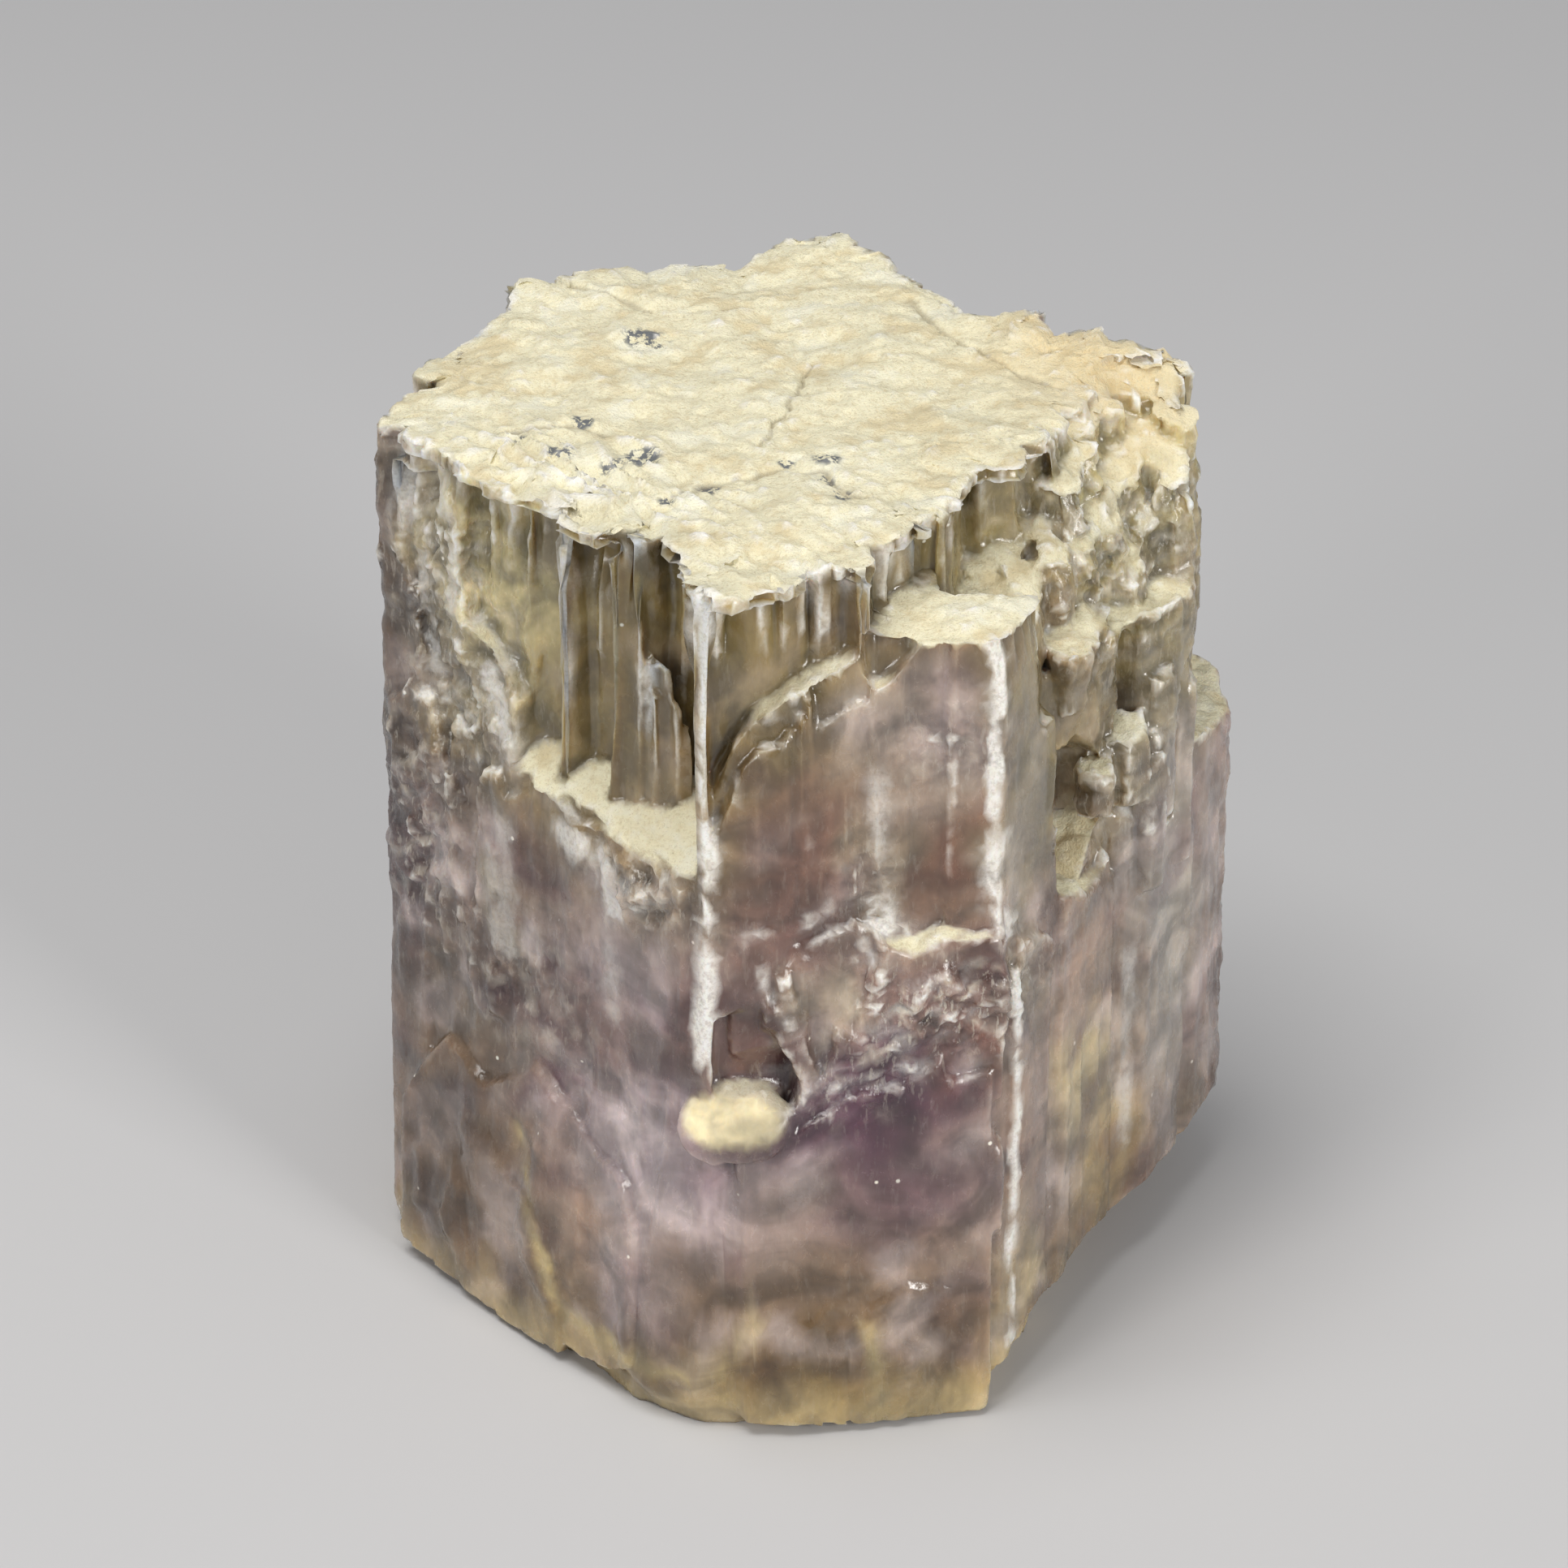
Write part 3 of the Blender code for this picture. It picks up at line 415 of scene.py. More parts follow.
# The crust on the faces that look up is granular. On the end face it is flaky too, and wrinkled in front
crumbs = 0.06 * lumps(points, 1.9, 21) + 0.07 * lumps(points, 0.8, 22)
crumbs += 0.09 * lumps(points, 0.4, 23) + 0.05 * lumps(points, 0.25, 26)
moved[:, 2] += crumbs * top * ramp(2.0, 5.0, z)
flakes = steps(lumps(points, (1.9, 1.5, 4.0), 27) + 0.4 * lumps(points, 0.7, 28), 3)
wrinkled = near(points, (-7.5, -4.6, 31.6), 3.4, 2.0) + 0.35 * ramp(2.0, -8.0, y)
turned = points @ np.array([[0.8, -0.6, 0.0], [0.6, 0.8, 0.0], [0.0, 0.0, 1.0]])
wrinkles = -np.abs(lumps(turned, (0.75, 2.4, 3.0), 29))
moved[:, 2] += end_face * (0.13 * flakes + 0.70 * wrinkled * (wrinkles + 0.25))

# The slope on the right is worn soft, and so are the pocket beside the scar and a few more places
WORN_PLACES = [
    ((-0.5, -12.4, 12.9), 0.8, 1.0, 0.9),
    ((-9.6, -7.4, 10.6), 3.0, 1.8, 0.8),
    ((2.4, -11.4, 28.5), 1.1, 0.9, 0.9),
    ((-5.2, -12.2, 4.0), 1.0, 4.0, 0.8),
]
WEARING_ROUNDS = 34
slope = near(points, (11.0, -1.5, 28.5), 4.6, 3.4)
worn = 0.45 * slope + gathered(points, WORN_PLACES)
moved += np.clip(worn, 0, 1)[:, None] * (smoothed(moved, WEARING_ROUNDS) - moved)

# The front edge is rounded below the scar
ROUNDING_ROUNDS = 90
rounded = np.clip(1.4 * near(points, (-3.0, -13.3, 4.5), 1.9, 6.0), 0, 1) * (1 - ramp(9.5, 11.0, z))
moved += rounded[:, None] * (smoothed(moved, ROUNDING_ROUNDS) - moved)

# The worn slope is granular
rubble = 0.24 * steps(lumps(points, 1.0, 84), 3) + 0.20 * lumps(points, 0.5, 85)
rubble += 0.10 * lumps(points, 0.28, 88)
moved += facing * (slope * rubble)[:, None]

# The flat foot, up to SOLE, keeps its height, and nothing else comes as low as CLEAR
SOLE = 0.3
CLEAR = 0.05
moved[:, 2] = np.where(z < SOLE, z, np.maximum(moved[:, 2], CLEAR))

# How proud each point stands of what is close to it, which is where the crystal is chipped white, and of what
# is broadly around it
proud = standing_out(moved, 9)
broad = standing_out(moved, 60)

# The tints of the cloudy sides and of the scar, as linear colours, with the painted shade and the painted
# glows among them
TINTS = {
    "olive": (0.230, 0.180, 0.078),
    "olive glass": (0.570, 0.495, 0.265),
    "brown glass": (0.250, 0.185, 0.070),
    "dark flute": (0.330, 0.255, 0.150),
    "grey": (0.280, 0.240, 0.170),
    "pale": (0.540, 0.470, 0.340),
    "tan": (0.190, 0.125, 0.068),
    "honey": (0.400, 0.285, 0.095),
    # painted glow: warm light painted in as if shining through the crystal
    "painted_glow": (0.540, 0.450, 0.250),
    "pink": (0.330, 0.215, 0.145),
    "lilac": (0.300, 0.225, 0.190),
    "grey lilac": (0.520, 0.430, 0.450),
    "silver": (0.430, 0.400, 0.340),
    "plum": (0.120, 0.052, 0.042),
    "purple": (0.080, 0.024, 0.052),
    "purple brown": (0.150, 0.072, 0.058),
    "red": (0.200, 0.070, 0.038),
    # painted shade: dark paint standing in for shade on the left side
    "painted shade": (0.070, 0.040, 0.032),
    "pale cloud": (0.620, 0.530, 0.510),
    "pale chip": (0.620, 0.560, 0.460),
    "seam": (0.500, 0.400, 0.200),
    # the colour of the painted glow along the foot
    "foot": (0.460, 0.365, 0.190),
    "scar": (0.740, 0.650, 0.420),
}

# Each stain or band, some of them painted shade or painted glow: its tint, its place, its reach across and
# upwards, and its strength
STAINS = [
    ("olive glass", (-10.0, -4.4, 28.8), 2.4, 3.0, 9.0),
    ("grey", (-12.6, -2.0, 24.5), 2.4, 4.5, 1.6),
    ("pale", (-13.2, -1.4, 29.2), 1.0, 1.2, 1.4),
    ("pale", (-11.6, -3.7, 28.0), 0.8, 1.0, 1.4),
    ("pale", (-12.2, -2.4, 23.0), 1.0, 1.0, 1.2),
    ("pale", (-11.4, -3.6, 26.0), 1.4, 1.6, 3.0),
    ("pale", (-12.6, -3.0, 29.6), 1.3, 1.8, 3.5),
    # painted shade down the left edge
    ("painted shade", (-13.9, -0.6, 22.0), 1.3, 8.0, 10.0),
    ("purple", (-13.9, -0.9, 15.5), 1.6, 3.5, 3.0),
    ("brown glass", (-2.0, -11.6, 28.6), 1.8, 3.0, 8.0),
    ("brown glass", (-5.5, -8.4, 26.5), 2.8, 4.0, 6.0),
    ("dark flute", (-4.4, -10.0, 23.4), 1.6, 2.8, 3.0),
    ("dark flute", (-7.8, -7.3, 25.0), 0.9, 3.0, 2.2),
    ("olive", (-6.8, -7.0, 28.6), 1.6, 2.0, 2.0),
    ("tan", (1.1, -11.1, 29.8), 2.0, 1.6, 1.6),
    ("olive", (5.0, -8.0, 29.8), 3.0, 1.8, 2.0),
    ("pale", (-10.2, -5.2, 23.2), 1.1, 1.3, 1.4),
    # painted shade under the left ledge and below it
    ("painted shade", (-11.6, -3.3, 20.0), 1.1, 1.6, 1.4),
    ("painted shade", (-12.4, -2.6, 16.4), 1.6, 2.0, 1.2),
    ("tan", (-8.4, -7.5, 18.2), 1.5, 1.8, 2.0),
    ("pale", (-10.2, -5.9, 17.2), 0.6, 2.6, 2.0),
    ("plum", (-7.0, -9.2, 13.2), 2.2, 1.5, 3.0),
    ("grey lilac", (-6.2, -10.4, 15.8), 2.6, 1.8, 1.2),
    # painted shade low on the left
    ("painted shade", (-10.6, -5.0, 12.6), 2.4, 1.6, 1.0),
    ("grey", (-11.8, -3.9, 10.8), 2.0, 2.4, 1.0),
    ("grey lilac", (-5.0, -11.6, 9.8), 2.6, 2.0, 6.0),
    ("pink", (-8.4, -8.6, 7.6), 2.0, 2.2, 1.6),
    ("tan", (-11.6, -4.2, 5.6), 2.8, 3.2, 4.0),
    ("tan", (-9.0, -7.6, 3.4), 2.6, 1.8, 1.4),
    ("grey lilac", (3.9, -11.5, 26.0), 2.4, 2.0, 0.9),
    ("lilac", (3.8, -11.6, 23.4), 1.6, 2.0, 2.0),
    ("purple brown", (-0.6, -12.4, 21.4), 2.0, 3.0, 7.0),
    ("red", (4.4, -11.6, 21.2), 1.0, 1.4, 4.0),
    ("purple brown", (4.0, -11.6, 20.4), 1.6, 1.6, 1.6),
    ("grey", (2.2, -11.9, 20.6), 0.9, 2.2, 2.0),
    ("red", (5.6, -12.0, 14.0), 0.9, 1.3, 5.0),
    ("plum", (-2.4, -12.2, 14.6), 1.4, 1.8, 9.0),
    ("pale", (0.6, -12.5, 16.0), 0.9, 1.5, 1.6),
    ("purple brown", (3.8, -12.3, 16.4), 2.2, 1.5, 2.4),
    ("purple", (3.0, -12.9, 12.8), 1.8, 1.2, 16.0),
    ("purple", (0.9, -13.2, 11.8), 2.2, 1.3, 10.0),
    ("lilac", (4.8, -12.5, 11.0), 2.0, 2.2, 1.6),
    ("lilac", (-0.4, -13.6, 9.4), 2.4, 1.8, 2.2),
    ("purple", (3.0, -13.0, 9.4), 2.4, 1.6, 2.6),
    ("tan", (2.5, -13.2, 4.6), 3.0, 2.2, 3.0),
    ("tan", (-3.2, -12.8, 5.2), 1.8, 1.6, 1.6),
    ("grey lilac", (-5.0, -11.4, 4.2), 1.6, 1.4, 1.6),
    ("grey lilac", (-7.6, -8.8, 10.4), 1.7, 1.8, 1.8),
    ("honey", (2.0, -13.4, 0.6), 5.0, 1.1, 2.0),
    ("honey", (-9.0, -8.0, 0.4), 6.0, 1.0, 1.4),
    ("pink", (9.1, -6.8, 14.8), 1.6, 2.4, 2.4),
    # painted glow low on the right
    ("painted_glow", (9.4, -6.2, 9.6), 1.8, 2.4, 2.8),
    ("honey", (10.4, -4.6, 5.6), 1.8, 2.2, 2.0),
    ("tan", (9.2, -6.6, 6.4), 0.7, 0.8, 1.2),
    ("silver", (12.3, -2.5, 16.5), 1.8, 4.0, 3.0),
    ("silver", (13.2, -1.3, 10.5), 1.8, 4.0, 2.2),
    ("pink", (6.9, -10.6, 8.0), 0.9, 5.0, 1.6),
    # painted glow at the foot of the right column
    ("painted_glow", (7.0, -10.6, 3.6), 1.2, 2.4, 2.6),
    ("grey", (6.9, -10.2, 20.0), 0.9, 6.0, 3.0),
    ("dark flute", (8.6, -5.6, 23.0), 1.3, 2.0, 3.0),
    ("olive", (8.6, -4.5, 18.4), 1.8, 1.8, 3.0),
    ("olive glass", (10.6, -1.0, 28.9), 3.0, 2.6, 2.6),
    ("honey", (10.4, 2.6, 31.0), 2.2, 1.2, 1.6),
    ("grey", (12.5, -0.3, 26.0), 1.6, 3.0, 1.6),
]

# Between the stains the ground is olive above, lilac in the middle and tan below, strained with purple brown
GROUND_WEIGHT = 0.9
upper = ramp(17.0, 22.0, z + 1.2 * lumps(points, 3.0, 31))
lower = 1 - ramp(2.5, 7.5, z + 1.5 * lumps(points, 3.4, 32))
ground = np.outer(upper, TINTS["olive"]) + np.outer((1 - upper) * (1 - lower), TINTS["lilac"])
ground += np.outer(lower * (1 - upper), TINTS["tan"])
strain = 0.7 * lumps(points, (3.4, 3.4, 4.5), 33)
strain = np.clip(strain * (1 + 0.6 * ramp(-4, 4, y)), 0, 1)
ground = ground * (1 - strain)[:, None] + np.outer(strain, TINTS["purple brown"])
wandering = points + 1.3 * shifts(points, 1.8, 34)
weight = np.full(count, GROUND_WEIGHT)
tint = ground * weight[:, None]
for name, place, reach, rise, strength in STAINS:
    share = strength * near(wandering, place, reach, rise)
    tint += np.outer(share, TINTS[name])
    weight += share
tint /= weight[:, None]


def tinted(share, name):
    """The tint, taken this share of the way to a named one."""
    return tint + share[:, None] * (np.array(TINTS[name]) - tint)


def shaded(share, lost):
    """The tint, darker by this share of the given parts of its red, green and blue."""
    return tint * (1 - share[:, None] * np.array(lost))


# Painted shade darkens the hollows, and a painted highlight lightens what stands proud
tint *= (1 - 0.22 * ramp(0.02, 0.3, -broad) + 0.25 * ramp(0.05, 0.35, broad))[:, None]

# Clouds inside: soft dark and pale ones a few millimetres wide, and small hard ones where it is broken. The
# left side and the front of the foot are darker, and a painted glow lights the foot at its edge
cloudy = (0.45 + 0.55 * near(points, (-9.5, -6.5, 13), 6, 7)) * wall * (1 - 0.6 * upper)
dark_cloud = ramp(0.02, 0.65, lumps(slanted, (3.0, 3.0, 2.0), 71) + 0.4 * lumps(slanted, 1.2, 72)) * cloudy
pale_cloud = ramp(0.05, 0.65, lumps(slanted, (2.8, 2.8, 1.8), 73) + 0.4 * lumps(slanted, 1.1, 74)) * cloudy
left_side = near(points, (-12.0, -4.0, 8.0), 5.5, 9.0)
pale_cloud *= 1 - 0.5 * left_side
tint = shaded(left_side, (0.44, 0.50, 0.56))
tint = shaded(near(points, (-1.2, -13.5, 3.8), 3.4, 2.8), (0.28, 0.36, 0.58))
tint = shaded(0.85 * dark_cloud, (0.82, 1.0, 0.88))
tint = tinted(0.85 * pale_cloud, "pale cloud")
chipped = broken * wall
dark_chip = ramp(0.15, 0.55, lumps(slanted, (0.9, 0.9, 0.5), 75)) * chipped
pale_chip = ramp(0.15, 0.55, lumps(slanted, (0.8, 0.8, 0.45), 76)) * chipped
tint = shaded(0.5 * dark_chip, (1, 1, 1))
tint = tinted(0.75 * pale_chip, "pale chip")
tint = tinted(0.80 * seam, "seam")
# painted glow along the foot, as if light shone through its thin edge
painted_glow = 0.75 * (ramp(3.0 + 2.2 * lumps(points, 1.8, 77), 0.1, z) * wall * (1 - 0.6 * left_side))
tint = tinted(painted_glow, "foot")

# White chipped ridges and soft veils, each a line from a start to an end with its width and its strength. A
# line weaker than SOFT_VEIL is a veil, and fades more slowly
SOFT_VEIL = 0.5
RIDGES = [
    ((-3.4, -13.2, 31.4), (-3.4, -13.0, 13.6), 0.28, 1.0),
    ((-3.5, -12.9, 31.4), (-3.6, -12.9, 29.6), 0.60, 0.9),
    ((6.0, -11.5, 29.2), (6.0, -11.6, 19.4), 0.24, 1.0),
    ((6.2, -11.5, 21.6), (6.2, -11.6, 19.8), 0.45, 0.9),
    ((-8.1, -7.3, 31.0), (-8.0, -7.5, 24.5), 0.42, 0.9),
    ((-8.3, -7.2, 31.0), (-8.3, -7.2, 28.6), 0.90, 0.8),
    ((-5.4, -9.1, 28.0), (-5.3, -9.3, 25.0), 0.24, 0.8),
    ((6.9, -11.1, 17.6), (7.0, -11.2, 1.0), 0.20, 1.0),
    ((2.3, -12.0, 24.6), (2.4, -12.1, 18.6), 0.40, 0.45),
    ((-10.2, -5.9, 19.4), (-10.3, -6.0, 14.6), 0.60, 0.40),
    ((-6.2, -9.6, 18.6), (-6.4, -10.0, 14.4), 0.45, 0.40),
    ((-13.3, -1.2, 30.4), (-13.2, -1.3, 28.6), 0.50, 0.6),
    ((-12.2, -2.6, 30.8), (-11.8, -3.0, 29.6), 0.45, 0.55),
    ((-11.6, -3.7, 28.2), (-11.6, -3.6, 25.8), 0.30, 0.6),
    ((-12.7, -1.8, 27.4), (-12.3, -2.2, 23.1), 0.30, 0.55),
    ((-10.6, -4.7, 24.2), (-9.6, -5.4, 22.4), 0.45, 0.8),
    ((-8.2, -7.9, 20.0), (-5.0, -10.8, 19.6), 0.45, 0.8),
    ((-6.8, -9.6, 20.0), (-6.4, -10.0, 18.4), 0.50, 0.8),
    ((2.1, -12.1, 19.8), (2.3, -12.1, 19.0), 0.40, 1.0),
    ((5.8, -11.5, 19.2), (6.8, -10.9, 18.0), 0.35, 1.0),
    ((9.9, -4.6, 26.0), (12.4, -2.0, 25.6), 0.40, 0.8),
    ((10.9, -3.7, 12.6), (10.9, -3.6, 5.4), 0.40, 0.45),
]
frost = ramp(0.035, 0.095, proud + 0.020 * lumps(points, 0.5, 41))
frost *= ramp(-0.45, 0.35, lumps(points, 1.3, 42))
frost *= 0.20 + 0.80 * ramp(10.0, 15.0, z)
shaken = points + 0.30 * shifts(points, (0.6, 0.6, 1.0), 48)
beads = lumps(points, (1.3, 1.3, 1.8), 43) + 0.9 * lumps(points, 0.45, 44)
for start, end, width, strength in RIDGES:
    line = along(shaken, start, end, width) * (1 + 1.1 * beads)
    frost = np.maximum(frost, strength * ramp(0.10, 0.60 if strength > SOFT_VEIL else 1.1, line))

# It is white too on raised rims, in drips under the end face, as powder where it is broken, on narrow ledges,
# on the arrises of the notch, and along the edge of the end face
drips = ramp(30.9 - 2.6 * np.maximum(0, lumps(columns, 0.8, 78)), 31.3, z)
drips *= ramp(-0.1, 0.3, lumps(columns, 0.6, 79))
powder = np.clip(broken - 0.2, 0, 1) * ramp(0.0, 0.5, lumps(slanted, (0.9, 0.9, 0.45), 45))
narrow = top * (1 - ramp(0.38, 0.55, breadth)) * ramp(11.0, 14.0, z)
narrow *= ramp(-0.3, 0.3, lumps(points, 0.8, 89))
arris = ramp(0.015, 0.06, proud) * near(points, (-6.0, -8.8, 25.5), 3.6, 5.0)
arris *= ramp(-0.3, 0.2, lumps(points, (1, 1, 3), 90))
off_side = np.linalg.norm(points[:, :2] - smoothed(points, 40)[:, :2], axis=1)
edge_white = end_face * ramp(0.05, 0.22, off_side) * ramp(-0.5, 0.3, lumps(points, 1.2, 47))
whites = [
    0.8 * rim * ramp(-0.1, 0.4, lumps(points, 0.8, 46)),
    0.9 * drips * wall,
    0.85 * narrow,
    0.9 * arris * wall,
    0.40 * powder * wall,
    0.85 * edge_white,
]
frost = np.clip(np.max([frost, *whites], axis=0), 0, 1)

# The crust is on everything broad that looks up above the foot, thinner on the slope, and rusty on the right.
# The scar is worn smooth, so it only has a tint
crust = ramp(0.30, 0.62, smoothed(facing, 2)[:, 2] + 0.14 * lumps(points, 0.7, 51)) * ramp(11.0, 14.5, z)
crust *= ramp(0.38, 0.55, breadth) * (1 - 0.9 * ramp(0.15, 0.6, rim) * wall)
crust *= 1 - 0.55 * slope * ramp(-0.2, 0.3, lumps(points, 0.9, 91))
crust *= 1 - 0.3 * near(points, (-4.6, -9.3, 20.8), 1.5, 1.6)
scar = ramp(0.33, 0.48, near(points, (-2.45, -13.2, 12.25), 1.75, 0.9))
crust *= 1 - scar
scar_tint = np.outer(0.92 + 0.12 * lumps(slanted, (1.6, 1.6, 0.3), 55), TINTS["scar"])
tint += scar[:, None] * (scar_tint - tint)
frost *= 1 - 0.7 * scar
RUSTY_PLACES = [
    ((10.4, 2.4, 31.3), 3.0, 2.5, 1.0),
    ((8.5, 5.6, 31.5), 2.0, 2.0, 0.7),
]
rust = gathered(points, RUSTY_PLACES)

# Dark grains and cracks in the crust: places seen from above, each with its reach, and paths
SPECKS = [
    ((-5.5, -3.5), 0.75),
    ((-6.4, -4.2), 0.4),
    ((-8.1, -3.5), 0.5),
    ((-3.2, -5.5), 0.4),
    ((-0.7, -3.9), 0.3),
    ((0.6, -3.8), 0.5),
    ((0.5, -5.2), 0.4),
    ((1.1, -6.2), 0.4),
    ((-5.4, 5.3), 0.75),
    ((-7.4, -1.0), 0.4),
    ((-9.6, -2.6), 0.35),
    ((-4.6, -6.6), 0.3),
]
CRACKS = [
    [(-8.0, 9.6), (-6.6, 8.4), (-5.4, 7.2)],
    [(0.1, 3.4), (-0.4, 1.2), (-1.0, -1.2), (-1.5, -2.6)],
    [(-4.4, -6.3), (-3.2, -5.2), (-1.2, -4.4), (0.4, -4.6), (1.8, -6.6)],
    [(3.4, 8.2), (4.6, 5.6), (6.6, 3.0), (8.6, 1.8)],
    [(-9.8, -2.0), (-8.0, -1.4), (-6.4, -1.8)],
]
ON_TOP = 31.6
CRACK_WIDTH = 0.16
flat = points * [1, 1, 0] + [0, 0, ON_TOP]
speck = np.zeros(count)
for place, reach in SPECKS:
    speck = np.maximum(speck, near(flat, (*place, ON_TOP), reach, 1))
crack = np.zeros(count)
wiggle = flat + 0.35 * shifts(flat, 1.0, 52) * [1, 1, 0]
for path in CRACKS:
    crack = np.maximum(crack, beside(wiggle, [(*place, ON_TOP) for place in path], CRACK_WIDTH))
crack *= end_face
speck *= end_face
moved[:, 2] -= 0.16 * crack + 0.08 * speck * np.abs(lumps(points, 0.35, 54))

# What each point carries for the material
carried = {
    "crust": crust,
    "dull": np.maximum(crust, 0.7 * scar),
    "frost": frost,
    "rough": np.clip(broken * 0.9, 0, 1) * (1 - scar),
    "rust": np.clip(rust, 0, 1),
    "speck": speck,
    "crack": crack,
}
for name, values in carried.items():
    crystal_mesh.attributes.new(name, "FLOAT", "POINT").data.foreach_set("value", values.astype(np.float32))
tints = crystal_mesh.attributes.new("tint", "FLOAT_COLOR", "POINT")
opaque = np.concatenate([tint, np.ones((count, 1))], axis=1)
tints.data.foreach_set("color", opaque.astype(np.float32).ravel())
crystal_mesh.vertices.foreach_set("co", (moved * MM).ravel())
crystal_mesh.update()

# The skin is thinned to just under what a piece may have, and is sharp where it turns by more than SHARP_FROM
MOST_TRIANGLES = 196000
SHARP_FROM = math.radians(62)
crystal = bpy.data.objects.new("crystal", crystal_mesh)
bpy.context.scene.collection.objects.link(crystal)
crystal_mesh.calc_loop_triangles()
full = len(crystal_mesh.loop_triangles)
thinning = crystal.modifiers.new("thin", "DECIMATE")
thinning.ratio = min(1.0, MOST_TRIANGLES / full)
bpy.context.view_layer.update()
thinned = bpy.data.meshes.new_from_object(crystal.evaluated_get(bpy.context.evaluated_depsgraph_get()))
crystal.modifiers.clear()
crystal.data = thinned
thinned.name = "crystal"
for polygon in thinned.polygons:
    polygon.use_smooth = True
thinned.set_sharp_from_angle(angle=SHARP_FROM)
print("crystal triangles", sum(len(polygon.vertices) - 2 for polygon in thinned.polygons), "of", full)

# Its surface: cloudy glassy sides under a dull crust, with white frost where it is chipped
surface = bpy.data.materials.new("cloudy aragonite")
surface.use_nodes = True
nodes, links = surface.node_tree.nodes, surface.node_tree.links
shader = nodes["Principled BSDF"]
own_place = nodes.new("ShaderNodeTexCoord").outputs["Object"]


def put(socket, value):
    """Sets a socket, or links it where the value is another node's output."""
    if isinstance(value, bpy.types.NodeSocket):
        links.new(value, socket)
    else:
        socket.default_value = value


def reading(name, output="Fac"):
    """A value that the surface carries."""
    node = nodes.new("ShaderNodeAttribute")
    node.attribute_name = name
    return node.outputs[output]


def stretched(across, upwards, turn=0.0):
    """Object coordinates in lumps of these sizes in mm, leaning by turn degrees."""
    node = nodes.new("ShaderNodeMapping")
    links.new(own_place, node.inputs["Vector"])
    node.inputs["Scale"].default_value = (PER_METRE / across, PER_METRE / across, PER_METRE / upwards)
    node.inputs["Rotation"].default_value = (0, math.radians(turn), math.radians(turn))
    return node.outputs["Vector"]


def clouds(where, detail, roughness, distortion=0.0):
    """Cloudy noise, from 0 to 1."""
    node = nodes.new("ShaderNodeTexNoise")
    links.new(where, node.inputs["Vector"])
    node.inputs["Scale"].default_value = 1.0
    node.inputs["Detail"].default_value = detail
    node.inputs["Roughness"].default_value = roughness
    node.inputs["Distortion"].default_value = distortion
    return node.outputs["Fac"]


def between(value, low, high, to_low=0.0, to_high=1.0):
    """to_low where the value is low or less, to_high where it is high or more, and smooth between them."""
    node = nodes.new("ShaderNodeMapRange")
    node.interpolation_type = "SMOOTHSTEP"
    for socket, number in zip(node.inputs[:5], (value, low, high, to_low, to_high)):
        put(socket, number)
    return node.outputs["Result"]


def worked_out(kind, a, b):
    """The sum, difference or product of two values."""
    node = nodes.new("ShaderNodeMath")
    node.operation = kind
    put(node.inputs[0], a)
    put(node.inputs[1], b)
    return node.outputs["Value"]


def plus(a, b):
    return worked_out("ADD", a, b)


def minus(a, b):
    return worked_out("SUBTRACT", a, b)


def times(a, b):
    return worked_out("MULTIPLY", a, b)


def mixed(share, a, b):
    """The value a where share is 0, and b where it is 1."""
    node = nodes.new("ShaderNodeMix")
    node.data_type = "FLOAT"
    for socket, number in zip((node.inputs[0], node.inputs[2], node.inputs[3]), (share, a, b)):
        put(socket, number)
    return node.outputs[0]


def blended(share, a, b):
    """The colour a where share is 0, and b where it is 1."""
    node = nodes.new("ShaderNodeMix")
    node.data_type = "RGBA"
    put(node.inputs["Factor"], share)
    put(node.inputs[6], a)
    put(node.inputs[7], b)
    return node.outputs[2]


def scaled_colour(colour, value):
    """The colour, times a value."""
    node = nodes.new("ShaderNodeVectorMath")
    node.operation = "SCALE"
    put(node.inputs[0], colour)
    put(node.inputs["Scale"], value)
    return node.outputs["Vector"]


# The colours of what is laid over the tint, as linear colours
FEATHER = (0.660, 0.610, 0.520, 1)
# the white of the painted glints, highlights painted into the colour
PAINTED_GLINT = (0.900, 0.860, 0.760, 1)
CREAM = (0.840, 0.790, 0.570, 1)
CREAM_GAP = (0.730, 0.660, 0.450, 1)
CREAM_STAIN = (0.660, 0.540, 0.310, 1)
CREAM_BLEACHED = (0.880, 0.860, 0.700, 1)
CREAM_RUST = (0.700, 0.500, 0.220, 1)
SAND = (0.480, 0.400, 0.250, 1)
SPECK = (0.150, 0.160, 0.170, 1)
CRACK = (0.300, 0.250, 0.160, 1)
WHITE_FROST = (0.920, 0.900, 0.850, 1)

crust_share = reading("crust")
frost_share = reading("frost")
rough_share = reading("rough")
dull_share = reading("dull")

# Sides: the tint, in patches and mottled, with faint upright threads, pale feathers where it is broken, and
# a few painted glints, small white highlights painted into the colour
threads = clouds(stretched(0.22, 3.2), 4.0, 0.6)
patches = clouds(stretched(2.6, 2.2, 18), 3.0, 0.5, 0.8)
mottle = clouds(stretched(0.5, 0.7, 30), 4.0, 0.6, 0.4)
feathers = clouds(stretched(0.20, 0.85, 38), 4.0, 0.6, 0.3)
uneven = times(minus(mottle, 0.5), mixed(rough_share, 0.45, 2.4))
shading = times(between(patches, 0.30, 0.70, 0.62, 1.44), between(threads, 0.30, 0.70, 0.975, 1.025))
shading = times(shading, plus(uneven, 1.0))
clouded = scaled_colour(reading("tint", "Color"), shading)
feathery = times(between(feathers, 0.56, 0.66), mixed(rough_share, 0.0, 0.70))
side = blended(feathery, clouded, FEATHER)
